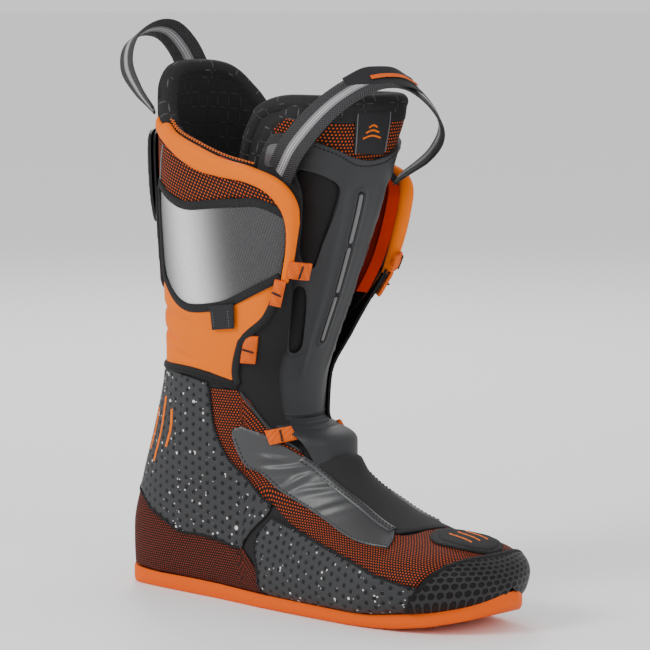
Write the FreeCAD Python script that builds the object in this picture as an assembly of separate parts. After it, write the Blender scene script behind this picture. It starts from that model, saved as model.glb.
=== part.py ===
"""Removable inner boot (liner) of a ski-touring boot, right foot.

Millimetres. The sole rests on z = 0, +X points to the toe, +Z up, -Y is the outer (lateral) side.
The origin lies on the sole plane, half way along the 285 mm sole, on its centre line.
The ankle flexes about x -60, z 100 and the tongue folds at x -7, z 106.
"""
import FreeCAD, Part
import math
import os

os.makedirs("parts", exist_ok=True)

# ---------------------------------------------------------------- driving dimensions
SOLE_THICKNESS = 5.0      # orange outsole plate
FOAM_OUT = 2.1            # depth of the foam's outer face below the boot surface
FOOT_FOAM = 6.5           # foam wall of the foot
CUFF_FOAM = 7.0           # foam wall of the cuff
TONGUE_FOAM = 6.5         # foam wall of the tongue
LINING = 0.9              # thickness of the brushed lining
GAP = 0.35                # air between neighbouring layers
MEDIAL_FLARE = 6.0        # how far the inner flap of the cuff spreads
WEB_WIDTH = 20.0          # pull-loop webbing
WEB_THICKNESS = 1.8

# Skin levels, as (outer face, inner face) above the boot surface
BASE = (-1.0, -1.8)
PANEL = (-0.1, -0.7)
OVER = (0.9, 0.25)
TRIM = (1.9, 1.25)

# Boot sections, one fan plane each, from the collar (0) to the toe tip (19):
# rear or sole point x z, front or top point x z, half width, centre y, roundness rear, front
SECTIONS = [
    (-106, 335, 40, 296, 61.0, 1, 2.3, 5.0),
    (-109, 300, 34, 264, 59.0, 1, 2.3, 6.0),
    (-111, 260, 28, 228, 55.5, 1, 2.3, 6.0),
    (-111, 215, 20, 192, 51.0, 0, 2.2, 5.0),
    (-111, 172, 9, 160, 45.0, 0, 2.2, 3.2),
    (-114, 135, -1, 134, 40.0, 0, 2.2, 2.4),
    (-122, 102, 0, 114, 39.0, 0, 2.3, 2.2),
    (-133, 66, 9, 103, 38.5, 0, 2.5, 2.1),
    (-141, 34, 19, 94, 37.0, 0, 2.8, 2.0),
    (-139, 9, 29, 86, 35.5, 0, 3.2, 2.0),
    (-109, 5, 41, 77, 35.0, 0, 3.6, 2.0),
    (-64, 5, 55, 69, 37.0, 0, 4.0, 2.0),
    (-19, 5, 71, 61, 41.0, -1, 4.5, 2.0),
    (26, 5, 87, 55, 46.0, 0, 4.5, 2.0),
    (61, 5, 101, 52, 49.0, 1, 4.5, 2.1),
    (88, 7, 115, 50, 47.5, 2, 4.0, 2.2),
    (112, 10, 128, 45, 40.0, 3, 3.4, 2.4),
    (129, 14, 136, 38, 27.0, 5, 2.8, 2.6),
    (137, 18, 139, 33, 15.0, 6, 2.4, 2.4),
    (141, 23, 141, 28, 3.0, 7, 2.2, 2.2),
]

# Tongue sections from the top (0) down: front point x z, wing edge x z, half width, squareness, centre y
TONGUE = [
    (41, 300, -6, 301, 41.0, 4.6, 4.0),
    (39, 288, -22, 289, 42.0, 4.8, 4.0),
    (37, 270, -32, 268, 38.5, 4.4, 2.5),
    (32, 242, -40, 240, 36.0, 3.6, 0.5),
    (24, 215, -40, 212, 33.0, 3.0, 0),
    (14, 187, -36, 185, 29.0, 2.8, 0),
    (2, 158, -32, 158, 26.0, 2.6, 0),
    (-7, 132, -29, 134, 24.0, 2.4, 0),
    (-9, 112, -26, 113, 23.0, 2.3, 0),
    (1, 104, -12, 104, 22.0, 2.2, 0),
    (17, 98.5, 4, 98, 21.0, 2.2, 0),
]


# ---------------------------------------------------------------- helpers
class Curve:
    """Smooth curve through a few (input, value) points that never overshoots them."""

    def __init__(self, points):
        self.x = [float(p[0]) for p in points]
        self.y = [float(p[1]) for p in points]
        n = len(self.x)
        step = [self.x[i + 1] - self.x[i] for i in range(n - 1)]
        rise = [(self.y[i + 1] - self.y[i]) / step[i] for i in range(n - 1)]
        self.slope = [rise[0]] + [0.0] * (n - 2) + [rise[-1]]
        for i in range(1, n - 1):
            if rise[i - 1] * rise[i] > 0:
                before = 2 * step[i] + step[i - 1]
                after = step[i] + 2 * step[i - 1]
                self.slope[i] = (before + after) / (before / rise[i - 1] + after / rise[i])

    def __call__(self, x):
        i = 0
        while i < len(self.x) - 2 and x > self.x[i + 1]:
            i += 1
        h = self.x[i + 1] - self.x[i]
        t = (x - self.x[i]) / h
        a = self.y[i] * (1 + 2 * t) + h * self.slope[i] * t
        b = self.y[i + 1] * (3 - 2 * t) - h * self.slope[i + 1] * (1 - t)
        return a * (1 - t) ** 2 + b * t * t


def columns(rows):
    """One Curve per column of a table, over the row number."""
    return [Curve([(i, row[k]) for i, row in enumerate(rows)]) for k in range(len(rows[0]))]


def ease(low, high, x):
    t = min(1.0, max(0.0, (x - low) / (high - low)))
    return t * t * (3 - 2 * t)


def round_arm(angle, n):
    """Cosine and sine parts of a superellipse of exponent n at a polar angle in degrees."""
    c = math.cos(math.radians(angle))
    s = math.sin(math.radians(angle))
    r = (abs(c) ** n + abs(s) ** n) ** (-1.0 / n)
    return c * r, s * r


BOOT_COLUMNS = columns(SECTIONS)
TONGUE_COLUMNS = columns(TONGUE)


def boot_point(u, angle, shrink=0.0):
    """Point of the boot surface. Angle 0 is the rear or sole line, 90 lateral, 180 the front."""
    bx, bz, fx, fz, width, mid_y, n_rear, n_front = [c(u) for c in BOOT_COLUMNS]
    half = math.hypot(fx - bx, fz - bz) / 2
    dx, dz = (fx - bx) / (2 * half), (fz - bz) / (2 * half)
    turn = angle % 360.0
    n = n_rear if math.cos(math.radians(turn)) > 0 else n_front
    along, across = round_arm(turn, n)
    along *= half - shrink
    y = mid_y - (width - shrink) * across
    flare = ease(180, 205, turn) * (1 - ease(215, 250, turn)) * (1 - ease(2.6, 3.6, u))
    return FreeCAD.Vector((bx + fx) / 2 - dx * along, y + MEDIAL_FLARE * flare, (bz + fz) / 2 - dz * along)


def lift(surface, u, v, height, centre):
    """Point of a surface moved along its outward normal, away from centre."""
    e = 0.02
    p = surface(u, v)
    normal = (surface(u + e, v) - surface(u - e, v)).cross(surface(u, v + 50 * e) - surface(u, v - 50 * e))
    if normal.Length < 1e-9:
        normal = p - centre
    normal.normalize()
    if normal.dot(p - centre) < 0:
        normal = normal * -1
    return p + normal * height


def boot(u, angle, height):
    u = min(18.97, max(0.03, u))
    rear = boot_point(u, 0)
    front = boot_point(u, 180)
    return lift(boot_point, u, angle, height, (rear + front) * 0.5)


def tongue_point(v, angle, shrink=0.0):
    """Point of the tongue's front face. Angle 0 is its centre line, -90 and 90 its wing edges."""
    fx, fz, ex, ez, width, n, mid_y = [c(v) for c in TONGUE_COLUMNS]
    along, across = round_arm(angle, n)
    depth = math.hypot(fx - ex, fz - ez)
    along *= (depth - shrink) / depth
    return FreeCAD.Vector(ex + (fx - ex) * along, mid_y - (width - shrink) * across, ez + (fz - ez) * along)


def tongue(v, angle, height):
    v = min(9.97, max(0.03, v))
    edge = tongue_point(v, 90)
    return lift(tongue_point, v, angle, height, FreeCAD.Vector(edge.x - 10, 0, edge.z))


def ruled_face(first, second):
    """Straight-ruled face between two spline curves that run the same way."""
    for curve in (first, second):
        knots = curve.getKnots()
        span = knots[-1] - knots[0]
        curve.setKnots([(k - knots[0]) / span for k in knots])
    for curve, other in ((first, second), (second, first)):
        curve.insertKnots(other.getKnots(), other.getMultiplicities(), 1e-9, False)
    surface = Part.BSplineSurface()
    surface.buildFromPolesMultsKnots([first.getPoles(), second.getPoles()], [2, 2], first.getMultiplicities(),
                                     [0.0, 1.0], first.getKnots(), False, False, 1, first.Degree)
    return surface.toShape()


def solid_between(outer, inner):
    """Closed solid between two grids of points of the same size."""
    skins = []
    for grid in (outer, inner):
        surface = Part.BSplineSurface()
        surface.interpolate(grid)
        skins.append(surface)
    faces = [surface.toShape() for surface in skins]
    for end in (0, 1):
        faces.append(ruled_face(*[surface.uIso(surface.bounds()[end]) for surface in skins]))
        faces.append(ruled_face(*[surface.vIso(surface.bounds()[2 + end]) for surface in skins]))
    shell = Part.makeShell(faces)
    shell.sewShape()
    solid = Part.Solid(shell)
    if solid.Volume < 0:
        solid.reverse()
    return solid


def save(name, *solids):
    shape = solids[0] if len(solids) == 1 else Part.makeCompound(list(solids))
    shape.exportStep("parts/%s.step" % name)
    good = all(s.isValid() and s.Shells[0].isClosed() for s in solids)
    print("%-26s %8.1f mm3 %s" % (name, sum(s.Volume for s in solids), "" if good else "NOT CLOSED"))


def patch(surface, edge_a, edge_b, outer, inner, rows=7, cols=17):
    """Slab of a surface between two edges, each a list of (station, angle) points of equal count."""
    span = len(edge_a) - 1
    paths = []
    for edge in (edge_a, edge_b):
        paths.append([Curve([(i / span, p[k]) for i, p in enumerate(edge)]) for k in (0, 1)])
    grids = []
    for height in (outer, inner):
        grid = []
        for i in range(cols):
            t = i / (cols - 1)
            row = []
            for j in range(rows):
                s = j / (rows - 1)
                u = paths[0][0](t) * (1 - s) + paths[1][0](t) * s
                angle = paths[0][1](t) * (1 - s) + paths[1][1](t) * s
                row.append(height(surface, u, angle))
            grid.append(row)
        grids.append(grid)
    return solid_between(grids[0], grids[1])


def proud(height):
    """A face lifted along the surface's normal."""
    return lambda surface, u, angle: surface(u, angle, height)


def shrunk(point, amount):
    """A face made by shrinking each section, for thick walls round tight corners."""
    return lambda surface, u, angle: point(u, angle, amount)


def foot_inside(surface, u, angle):
    """Inner face of the foot's foam, which stops short of the toe so that the toe is closed."""
    depth = FOAM_OUT + FOOT_FOAM
    return boot_point(u - 1.8 * ease(14.0, 18.6, u), angle, depth)


def skin(edge_a, edge_b, level, rows=7, cols=17):
    return patch(boot, edge_a, edge_b, proud(level[0]), proud(level[1]), rows, cols)


def mirrored(edge):
    return [(u, 360 - angle) for u, angle in edge]


def both(edge):
    """An edge given from the rear line to the front, carried round both sides."""
    return [(u, -angle) for u, angle in reversed(edge[1:])] + edge


def pair(name, edge_a, edge_b, level, rows=7, cols=17):
    """The same skin on the lateral and on the medial side."""
    save(name + "_lateral", skin(edge_a, edge_b, level, rows, cols))
    save(name + "_medial", skin(mirrored(edge_a), mirrored(edge_b), level, rows, cols))


def ribbon(path, widths, width, thickness, cols=33):
    """Webbing along a path of points; widths are its flat directions, the same number of them."""
    count = len(path) - 1
    track = [Curve([(i / count, p[k]) for i, p in enumerate(path)]) for k in range(3)]
    flat = [Curve([(i / count, w[k]) for i, w in enumerate(widths)]) for k in range(3)]
    grids = [[], []]
    for i in range(cols):
        t = i / (cols - 1)
        before, after = max(0.0, t - 0.01), min(1.0, t + 0.01)
        here = FreeCAD.Vector(*[c(t) for c in track])
        ahead = FreeCAD.Vector(*[c(after) for c in track]) - FreeCAD.Vector(*[c(before) for c in track])
        ahead.normalize()
        across = FreeCAD.Vector(*[c(t) for c in flat])
        across = across - ahead * across.dot(ahead)
        across.normalize()
        normal = ahead.cross(across)
        for grid, side in zip(grids, (1, -1)):
            grid.append([here + across * (width * k / 2) + normal * (thickness / 2 * side)
                         for k in (-1, -0.5, 0, 0.5, 1)])
    return solid_between(grids[0], grids[1])


# ---------------------------------------------------------------- outlines shared by neighbours
FOOT_TOP = [(4.9, 0), (4.9, 40), (4.88, 80), (5.05, 110), (5.2, 117), (5.85, 126), (6.72, 136), (7.2, 143),
            (7.45, 150), (7.9, 178.5)]
CUFF_TOP = [(0.5, 0), (0.55, 25), (0.85, 40), (1.15, 50), (1.33, 62), (1.38, 80), (1.42, 99), (1.38, 117),
            (1.44, 130), (1.75, 138)]
CUFF_BOTTOM = [(3.15, 0), (3.15, 30), (3.24, 45), (3.55, 57), (3.76, 75), (3.62, 99), (3.42, 112),
               (3.25, 120), (3.02, 128), (2.86, 137)]
HEEL_TOP = [(6.95, 0), (7.15, 30), (7.48, 48), (8.0, 60), (8.48, 69), (9.48, 81), (10.5, 81), (11.3, 66)]
HEEL_BOTTOM = [(8.7, 0), (8.85, 25), (9.2, 34), (9.7, 38), (10.1, 39.5), (10.7, 40), (11.3, 40), (12.0, 40)]


def make_sole():
    """Outsole plate with its upturned toe, the board under the foam, and the loose footbed."""
    side = [(-140.0, 0.0), (-136.5, 15.0), (-125.0, 26.5), (-100.0, 33.5), (-62.0, 35.5), (-20.0, 40.0),
            (26.0, 45.5), (61.0, 48.5), (88.0, 46.5), (112.0, 38.0), (129.0, 25.0), (137.5, 13.0)]
    lean = Curve([(-144, 0), (-62, 0), (-20, -1), (26, 0), (88, 2), (129, 5), (144, 7)])
    lateral = [FreeCAD.Vector(x, lean(x) - y, -5) for x, y in side]
    medial = [FreeCAD.Vector(x, lean(x) + y, -5) for x, y in reversed(side[1:])]
    tip = FreeCAD.Vector(141.0, lean(141), -5)
    outline = Part.BSplineCurve()
    outline.interpolate(lateral + [tip] + medial, PeriodicFlag=True)
    column = Part.Face(Part.Wire([outline.toShape()])).extrude(FreeCAD.Vector(0, 0, 45))
    under = [(-150, 0), (60, 0), (88, 1.2), (112, 4.4), (129, 8.4), (137, 12.2), (152, 24)]
    faces = []
    for rise in (0.0, SOLE_THICKNESS):
        line = Part.BSplineCurve()
        line.interpolate([FreeCAD.Vector(x, -70, z + rise) for x, z in under[1:]])
        flat = Part.makeLine(FreeCAD.Vector(-150, -70, rise), FreeCAD.Vector(60, -70, rise))
        faces.append((flat, line.toShape()))
    ends = [Part.makeLine(FreeCAD.Vector(x, -70, z), FreeCAD.Vector(x, -70, z + SOLE_THICKNESS))
            for x, z in (under[0], under[-1])]
    profile = Part.Wire(Part.sortEdges([*faces[0], *faces[1], *ends])[0])
    slab = Part.Face(profile).extrude(FreeCAD.Vector(0, 140, 0))
    save("outsole", column.common(slab).Solids[0])
    board = [(9.6, 27), (11, 30), (13, 31), (15, 27), (16.6, 16)]
    save("sole_board", skin(board, [(u, -angle) for u, angle in board], (-0.1, -1.5), 9, 21))
    bed = [(9.75, 24), (11, 27), (13, 28), (15, 24), (16.2, 15)]
    depth = FOAM_OUT + FOOT_FOAM + GAP
    save("footbed", patch(boot, bed, [(u, -angle) for u, angle in bed], shrunk(boot_point, depth),
                          shrunk(boot_point, depth + 3.0), 9, 21))


def make_foot():
    """Foam halves of the foot, and the cloth, foam and leather panels sewn on them."""
    start = FOOT_TOP[:]
    start[0] = (4.9, 1.0)
    end = [(18.6, angle) for angle in (1.0, 40, 70, 90, 105, 120, 135, 150, 165, 178.5)]
    for side, turn in (("lateral", lambda e: e), ("medial", mirrored)):
        wall = patch(boot, turn(start), turn(end), proud(-FOAM_OUT), foot_inside, 41, 25)
        save("foot_foam_" + side, wall)
    save("heel_wrap", skin(both(HEEL_TOP), both(HEEL_BOTTOM), BASE, 7, 41))
    pair("ankle_panel",
         [(5.0, 5), (5.0, 35), (5.0, 65), (5.12, 93), (6.0, 99), (7.04, 106), (8.08, 114), (9.4, 117)],
         [(7.1, 5), (7.3, 35), (7.65, 50), (8.0, 58), (8.4, 66), (9.0, 74), (9.7, 80), (10.5, 83)], PANEL, 9, 29)
    pair("side_panel",
         [(9.95, 110), (11.04, 110), (12.72, 108), (14.24, 98), (15.56, 88)],
         [(10.85, 80), (11.6, 60), (12.6, 40), (14.0, 37), (15.4, 35)], PANEL, 9, 25)
    pair("quarter_mesh",
         [(5.3, 96), (6.2, 101), (7.3, 108), (9.44, 118), (11.04, 112), (12.72, 110), (14.24, 100), (15.4, 96),
          (15.6, 120), (16.1, 150)],
         [(5.95, 134), (6.7, 140), (7.5, 147), (8.4, 150), (10.0, 150), (12.4, 150), (13.2, 160), (13.7, 178),
          (15.2, 178.5), (16.1, 178.5)], BASE, 9, 37)
    pair("instep_overlay",
         [(6.2, 119), (6.4, 133), (7.2, 136), (7.9, 147), (10.0, 154), (12.6, 155)],
         [(6.7, 112), (7.3, 114.5), (8.16, 122), (9.92, 127), (12.12, 127), (13.2, 136)], OVER, 7, 25)
    pair("instep_strip",
         [(8.0, 147), (10.0, 153), (12.5, 154)],
         [(8.2, 143), (10.15, 149), (12.65, 150)], TRIM, 3, 17)
    save("stretch_vamp", skin(
        [(8.5, 152.5), (8.2, 165), (8.15, 180), (8.2, 195), (8.5, 207.5)],
        [(12.7, 152.5), (12.85, 165), (12.95, 180), (12.95, 195), (12.8, 207.5)], PANEL, 11, 15))
    for name, size, level in (("toe_patch_base", 1.0, OVER), ("toe_patch", 0.76, TRIM)):
        top, low = [], []
        for k in range(9):
            a = math.radians(160 - 140 * k / 8)
            reach = 1.15 * size * math.sin(a)
            angle = 186 - 29 * size * math.cos(a)
            top.append((14.35 - reach, angle))
            low.append((14.35 + reach, angle))
        save(name, skin(top, low, level, 9, 15))
    around = (47, 66, 88, 118, 150, 180, 210, 242, 272, 294, 313)
    rear = (15.45, 15.55, 15.65, 15.75, 16.25, 16.35, 16.25, 15.75, 15.65, 15.55, 15.45)
    save("toe_cap", skin(list(zip(rear, around)), [(18.9, angle) for angle in around], OVER, 15, 41))
    hem = [p for p in FOOT_TOP if p[1] <= 117]
    save("foot_binding", skin(both(hem), both([(u + 0.14, angle) for u, angle in hem]), OVER, 3, 45))
    inlays = []
    for angle, low, high in ((44, 5.9, 6.5), (55, 5.6, 6.7), (66, 5.9, 6.5)):
        inlays.append(skin([(low, angle), (low, angle + 3)], [(high, angle), (high, angle + 3)], OVER, 9, 3))
    save("ankle_inlays", *inlays)
    low_loops, mid_loops = [], []
    for turn in (lambda e: e, mirrored):
        low_loops.append(skin(turn([(6.6, 134), (6.6, 150)]), turn([(6.9, 134), (6.9, 150)]), TRIM, 5, 9))
        mid_loops.append(skin(turn([(4.15, 108), (4.15, 127)]), turn([(4.4, 108), (4.4, 127)]), TRIM, 5, 9))
    save("low_lace_loops", *low_loops)
    save("mid_lace_loops", *mid_loops)


def make_gussets():
    """The soft pieces that join the foot to the cuff and bend with the ankle."""
    top = [(u + 0.05, angle) for u, angle in CUFF_BOTTOM[:-1]] + [(2.98, 134)]
    low = [(4.84, 0), (4.84, 30), (4.84, 45), (4.83, 62), (4.83, 78), (4.85, 95), (4.95, 109), (4.3, 115),
           (3.7, 125), (3.12, 133)]
    save("flex_gusset", skin(both(top), both(low), (-0.5, -4.5), 9, 61))
    front = [(3.1, 139), (3.8, 142), (4.6, 143), (5.3, 144), (6.0, 145), (6.45, 146), (6.85, 148)]
    rear = [(3.2, 136), (3.7, 127.5), (4.3, 118), (4.9, 115), (5.3, 123), (5.9, 132.5), (6.55, 141)]
    pair("throat_gusset", front, rear, (-2.3, -3.6), 5, 25)


def make_cuff():
    """Cuff wall, its lining and padding, the panels and tapes on it, and the spine plates."""
    inner = shrunk(boot_point, FOAM_OUT + CUFF_FOAM)
    save("cuff_foam", patch(boot, both(CUFF_TOP), both(CUFF_BOTTOM), proud(-FOAM_OUT), inner, 17, 61))
    faces = [shrunk(boot_point, FOAM_OUT + CUFF_FOAM + GAP + extra) for extra in (0.0, LINING)]
    top = CUFF_TOP[:-1] + [(1.75, 134)]
    low = CUFF_BOTTOM[:-1] + [(2.9, 132)]
    save("cuff_lining", patch(boot, both(top), both(low), faces[0], faces[1], 17, 61))
    save("collar_pad", skin(both([(0.5, 0), (0.55, 25), (0.85, 40)]), both([(1.3, 0), (1.3, 25), (1.25, 40)]),
                            PANEL, 7, 21))
    pair("collar_rim",
         [(0.9, 43), (1.33, 62), (1.38, 80), (1.42, 99), (1.38, 117), (1.44, 130), (1.75, 138), (2.3, 138.5),
          (2.86, 138)],
         [(1.3, 43), (1.62, 60), (1.62, 80), (1.6, 99), (1.55, 117), (1.62, 127), (1.9, 133), (2.35, 134.5),
          (2.86, 134.5)], TRIM, 5, 33)
    pair("cuff_mesh",
         [(1.4, 3), (1.35, 30), (1.5, 50), (1.6, 70), (1.6, 99), (1.55, 117), (1.66, 130)],
         [(2.3, 3), (2.3, 30), (2.26, 55), (2.24, 76), (2.04, 96), (1.84, 113), (1.86, 130)], BASE, 7, 25)
    pair("reflector",
         [(2.36, 50), (2.36, 76), (2.16, 96), (1.95, 113), (1.9, 123), (1.95, 131)],
         [(3.2, 46), (3.7, 75), (3.55, 99), (3.35, 112), (3.15, 121), (2.78, 133)], BASE, 9, 25)
    upper, lower = [], []
    for turn in (lambda e: e, mirrored):
        line = [(2.2, 50), (2.26, 62), (2.26, 76), (2.08, 96), (1.88, 113), (1.84, 130)]
        upper.append(skin(turn(line), turn([(u + 0.13, angle) for u, angle in line]), OVER, 3, 25))
        line = [(2.7, 40), (3.24, 45), (3.55, 57), (3.7, 75), (3.54, 99), (3.34, 112), (3.16, 121), (2.8, 133)]
        lower.append(skin(turn(line), turn([(u + 0.13, angle) for u, angle in line]), OVER, 3, 33))
    save("upper_cuff_tape", *upper)
    save("lower_cuff_tape", *lower)
    plate = [(1.5, 35), (1.5, 12), (1.5, -12), (1.5, -35)]
    save("spine_plate_inner", skin(plate, [(3.75, angle * 0.8) for u, angle in plate], (2.9, 1.1), 9, 17))
    save("spine_plate_outer", skin([(1.5, angle) for u, angle in plate],
                                   [(2.8, angle * 0.9) for u, angle in plate], (5.5, 3.3), 9, 17))
    save("size_tag", skin([(3.66, 97), (3.55, 110)], [(4.0, 99), (3.92, 111)], TRIM, 5, 5))
    loops = []
    for turn in (lambda e: e, mirrored):
        loops.append(skin(turn([(2.92, 130), (2.88, 147)]), turn([(3.13, 130), (3.09, 147)]), TRIM, 5, 9))
    save("upper_lace_loops", *loops)


def make_tongue():
    """The tongue's foam, lining, cloth, moulded shell and trim, and its base sewn to the foot."""
    ring = [-88, -60, -30, 0, 30, 60, 88]
    top = [(0.05, a) for a in ring]
    low = [(7.95, a) for a in ring]
    save("tongue_foam", patch(tongue, top, low, proud(-1.6), shrunk(tongue_point, 1.6 + TONGUE_FOAM), 25, 33))
    depth = 1.6 + TONGUE_FOAM + GAP
    save("tongue_lining", patch(tongue, top, low, shrunk(tongue_point, depth),
                                shrunk(tongue_point, depth + LINING), 25, 33))
    save("tongue_edge", patch(tongue, [(0.05, a) for a in ring], [(0.55, a) for a in ring], proud(0.0),
                              proud(-1.2), 5, 33))
    ring = [-70, -40, -15, 15, 40, 70]
    save("tongue_mesh", patch(tongue, [(0.65, a) for a in ring], [(2.1, a) for a in ring], proud(-0.3),
                              proud(-1.2), 7, 25))
    save("tongue_label", patch(tongue, [(0.75, -9), (0.75, 9)], [(1.75, -9), (1.75, 9)], proud(1.0), proud(0.1),
                               5, 5))
    reach = [(1.95, 62), (2.4, 56), (3.1, 42), (4.0, 38), (5.0, 40), (6.0, 46), (7.0, 52), (7.9, 56)]
    save("tongue_shell", patch(tongue, [(v, -a) for v, a in reach], reach, proud(2.2), proud(0.2), 15, 33))
    slots = []
    for low_v, high_v in ((2.75, 4.1), (4.35, 5.5), (5.75, 6.8)):
        slots.append(patch(tongue, [(low_v, -4), (low_v, 4)], [(high_v, -4), (high_v, 4)], proud(3.0),
                           proud(2.45), 9, 3))
    save("slot_inserts", *slots)
    reach = [(8.35, 48), (9.0, 54), (9.9, 62)]
    save("tongue_base", patch(tongue, [(v, -a) for v, a in reach], reach, proud(2.6), proud(1.3), 11, 13))


def make_pull_loops():
    """Webbing loops at the rear of the collar and on the tongue, and the sleeve on the front one."""
    rear = [(-110, -27, 291), (-120, -31, 305), (-130, -31, 321), (-136, -22, 336), (-134, -7, 344),
            (-131, 7, 342), (-127, 17, 329), (-122, 22, 312), (-112, 25, 292)]
    flats = [(0.75, -0.66, 0.1), (0.8, -0.55, 0.2), (0.85, -0.3, 0.4), (0.87, 0, 0.5), (0.87, 0, 0.5),
             (0.87, 0.1, 0.5), (0.85, 0.35, 0.4), (0.8, 0.55, 0.25), (0.72, 0.7, 0.1)]
    save("rear_pull_loop", ribbon(rear, flats, WEB_WIDTH, WEB_THICKNESS))
    front = [(6, -41, 258), (20, -43, 276), (42, -38, 298), (52, -16, 311), (58, 5, 311), (61, 26, 299),
             (59, 41, 283), (44, 48, 267), (22, 46, 252)]
    flats = [(0.8, 0, -0.6)] * len(front)
    save("tongue_pull_loop", ribbon(front, flats, WEB_WIDTH, WEB_THICKNESS))
    sleeve = [(52.9, -15.0, 313.2), (56.0, -5, 314.2), (59.1, 6, 313.2)]
    save("loop_sleeve", ribbon(sleeve, [(0.8, 0, -0.6)] * 3, WEB_WIDTH - 3, 0.8, 9))


make_sole()
make_foot()
make_gussets()
make_cuff()
make_tongue()
make_pull_loops()
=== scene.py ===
import math

import bpy
import numpy as np
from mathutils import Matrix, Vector
from mathutils.geometry import delaunay_2d_cdt


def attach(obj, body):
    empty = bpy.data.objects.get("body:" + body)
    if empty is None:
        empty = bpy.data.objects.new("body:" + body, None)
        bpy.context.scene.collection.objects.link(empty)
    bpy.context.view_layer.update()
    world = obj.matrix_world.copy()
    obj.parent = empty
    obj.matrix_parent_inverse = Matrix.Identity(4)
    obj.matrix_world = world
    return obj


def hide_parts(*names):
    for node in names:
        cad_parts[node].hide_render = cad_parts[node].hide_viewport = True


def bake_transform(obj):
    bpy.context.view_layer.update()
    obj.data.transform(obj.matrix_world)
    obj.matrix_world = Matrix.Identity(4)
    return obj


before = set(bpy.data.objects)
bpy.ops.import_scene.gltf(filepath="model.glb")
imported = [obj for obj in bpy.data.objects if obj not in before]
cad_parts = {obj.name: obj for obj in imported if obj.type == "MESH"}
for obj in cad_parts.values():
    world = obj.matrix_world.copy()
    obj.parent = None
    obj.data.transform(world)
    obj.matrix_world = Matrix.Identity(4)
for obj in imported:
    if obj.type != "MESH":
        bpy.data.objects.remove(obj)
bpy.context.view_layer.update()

# ---------------------------------------------------------------- driving values, in millimetres unless said
MM = 0.001                # every shape below is worked out in millimetres and stored in metres
FOOT, CUFF, TONGUE, REAR_LOOP, FRONT_LOOP = "foot", "cuff", "tongue", "rear_loop", "front_loop"
SIDES = (("lateral", 1), ("medial", -1))
THICK_WEBBING, WIDE_WEBBING = 1.8, 20
FOAM_LEVEL = -2.1         # the foam's outer face lies this far under the outermost cloth
PLATE_LEVEL = 2.0         # outer face of the moulded tongue plate
STATION_LENGTH, DEGREE_LENGTH = 27, 0.55  # lengths of one station and one degree at the tongue's middle
MEDIAL_FLARE = 6.0        # the front of the medial collar stands out by this much
TOE_LAG = 1.8             # the toe's inner face ends this many stations before its outer one
# Stage, lights and camera, in metres
FLOOR_RADIUS, FLOOR_DROP, SKY_STRENGTH = 26, 0.0002, 0.95
LIGHTS = (("Key", (-0.5, -1.6, 1.3), (0, 0, 0.15), 0.7, 22),      # name, place, aim, size, power in watts
          ("Front", (1.8, -0.6, 0.9), (0, 0, 0.15), 0.8, 8),
          ("Rim", (-1.2, 1.2, 1.4), (0, 0, 0.2), 0.6, 14))
CAMERA_AZIMUTH, CAMERA_ELEVATION = math.radians(42), math.radians(6.8)
CAMERA_DISTANCE, CAMERA_AIM = 2.0, Vector((0, 0, 0.140))
CAMERA_LENS, CAMERA_SENSOR, CAMERA_SHIFT = 187.4, 36.0, (0.0088, 0.0686)

# Boot sections from the collar (0) to the toe tip (19): rear or sole point x z, front or top point x z,
# half width, centre y, roundness rear, roundness front. The same lofts as the CAD model.
SECTIONS = np.array([
    (-106, 335, 40, 296, 61.0, 1, 2.3, 5.0),
    (-109, 300, 34, 264, 59.0, 1, 2.3, 6.0),
    (-111, 260, 28, 228, 55.5, 1, 2.3, 6.0),
    (-111, 215, 20, 192, 51.0, 0, 2.2, 5.0),
    (-111, 172, 9, 160, 45.0, 0, 2.2, 3.2),
    (-114, 135, -1, 134, 40.0, 0, 2.2, 2.4),
    (-122, 102, 0, 114, 39.0, 0, 2.3, 2.2),
    (-133, 66, 9, 103, 38.5, 0, 2.5, 2.1),
    (-141, 34, 19, 94, 37.0, 0, 2.8, 2.0),
    (-139, 9, 29, 86, 35.5, 0, 3.2, 2.0),
    (-109, 5, 41, 77, 35.0, 0, 3.6, 2.0),
    (-64, 5, 55, 69, 37.0, 0, 4.0, 2.0),
    (-19, 5, 71, 61, 41.0, -1, 4.5, 2.0),
    (26, 5, 87, 55, 46.0, 0, 4.5, 2.0),
    (61, 5, 101, 52, 49.0, 1, 4.5, 2.1),
    (88, 7, 115, 50, 47.5, 2, 4.0, 2.2),
    (112, 10, 128, 45, 40.0, 3, 3.4, 2.4),
    (129, 14, 136, 38, 27.0, 5, 2.8, 2.6),
    (137, 18, 139, 33, 15.0, 6, 2.4, 2.4),
    (141, 23, 141, 28, 3.0, 7, 2.2, 2.2),
], float)
# Tongue sections from the top (0) down: front x z, wing edge x z, half width, squareness,
# centre y
TONGUE_SECTIONS = np.array([
    (41, 300, -6, 301, 41.0, 4.6, 4.0),
    (39, 288, -22, 289, 42.0, 4.8, 4.0),
    (37, 270, -32, 268, 38.5, 4.4, 2.5),
    (32, 242, -40, 240, 36.0, 3.6, 0.5),
    (24, 215, -40, 212, 33.0, 3.0, 0),
    (14, 187, -36, 185, 29.0, 2.8, 0),
    (2, 158, -32, 158, 26.0, 2.6, 0),
    (-7, 132, -29, 134, 24.0, 2.4, 0),
    (-9, 112, -26, 113, 23.0, 2.3, 0),
    (1, 104, -12, 104, 22.0, 2.2, 0),
    (17, 98.5, 4, 98, 21.0, 2.2, 0),
    (22, 87.0, 10, 86, 18.5, 2.1, 0),
    (29, 75.0, 15, 74, 17.0, 2.0, 0),
], float)


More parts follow.
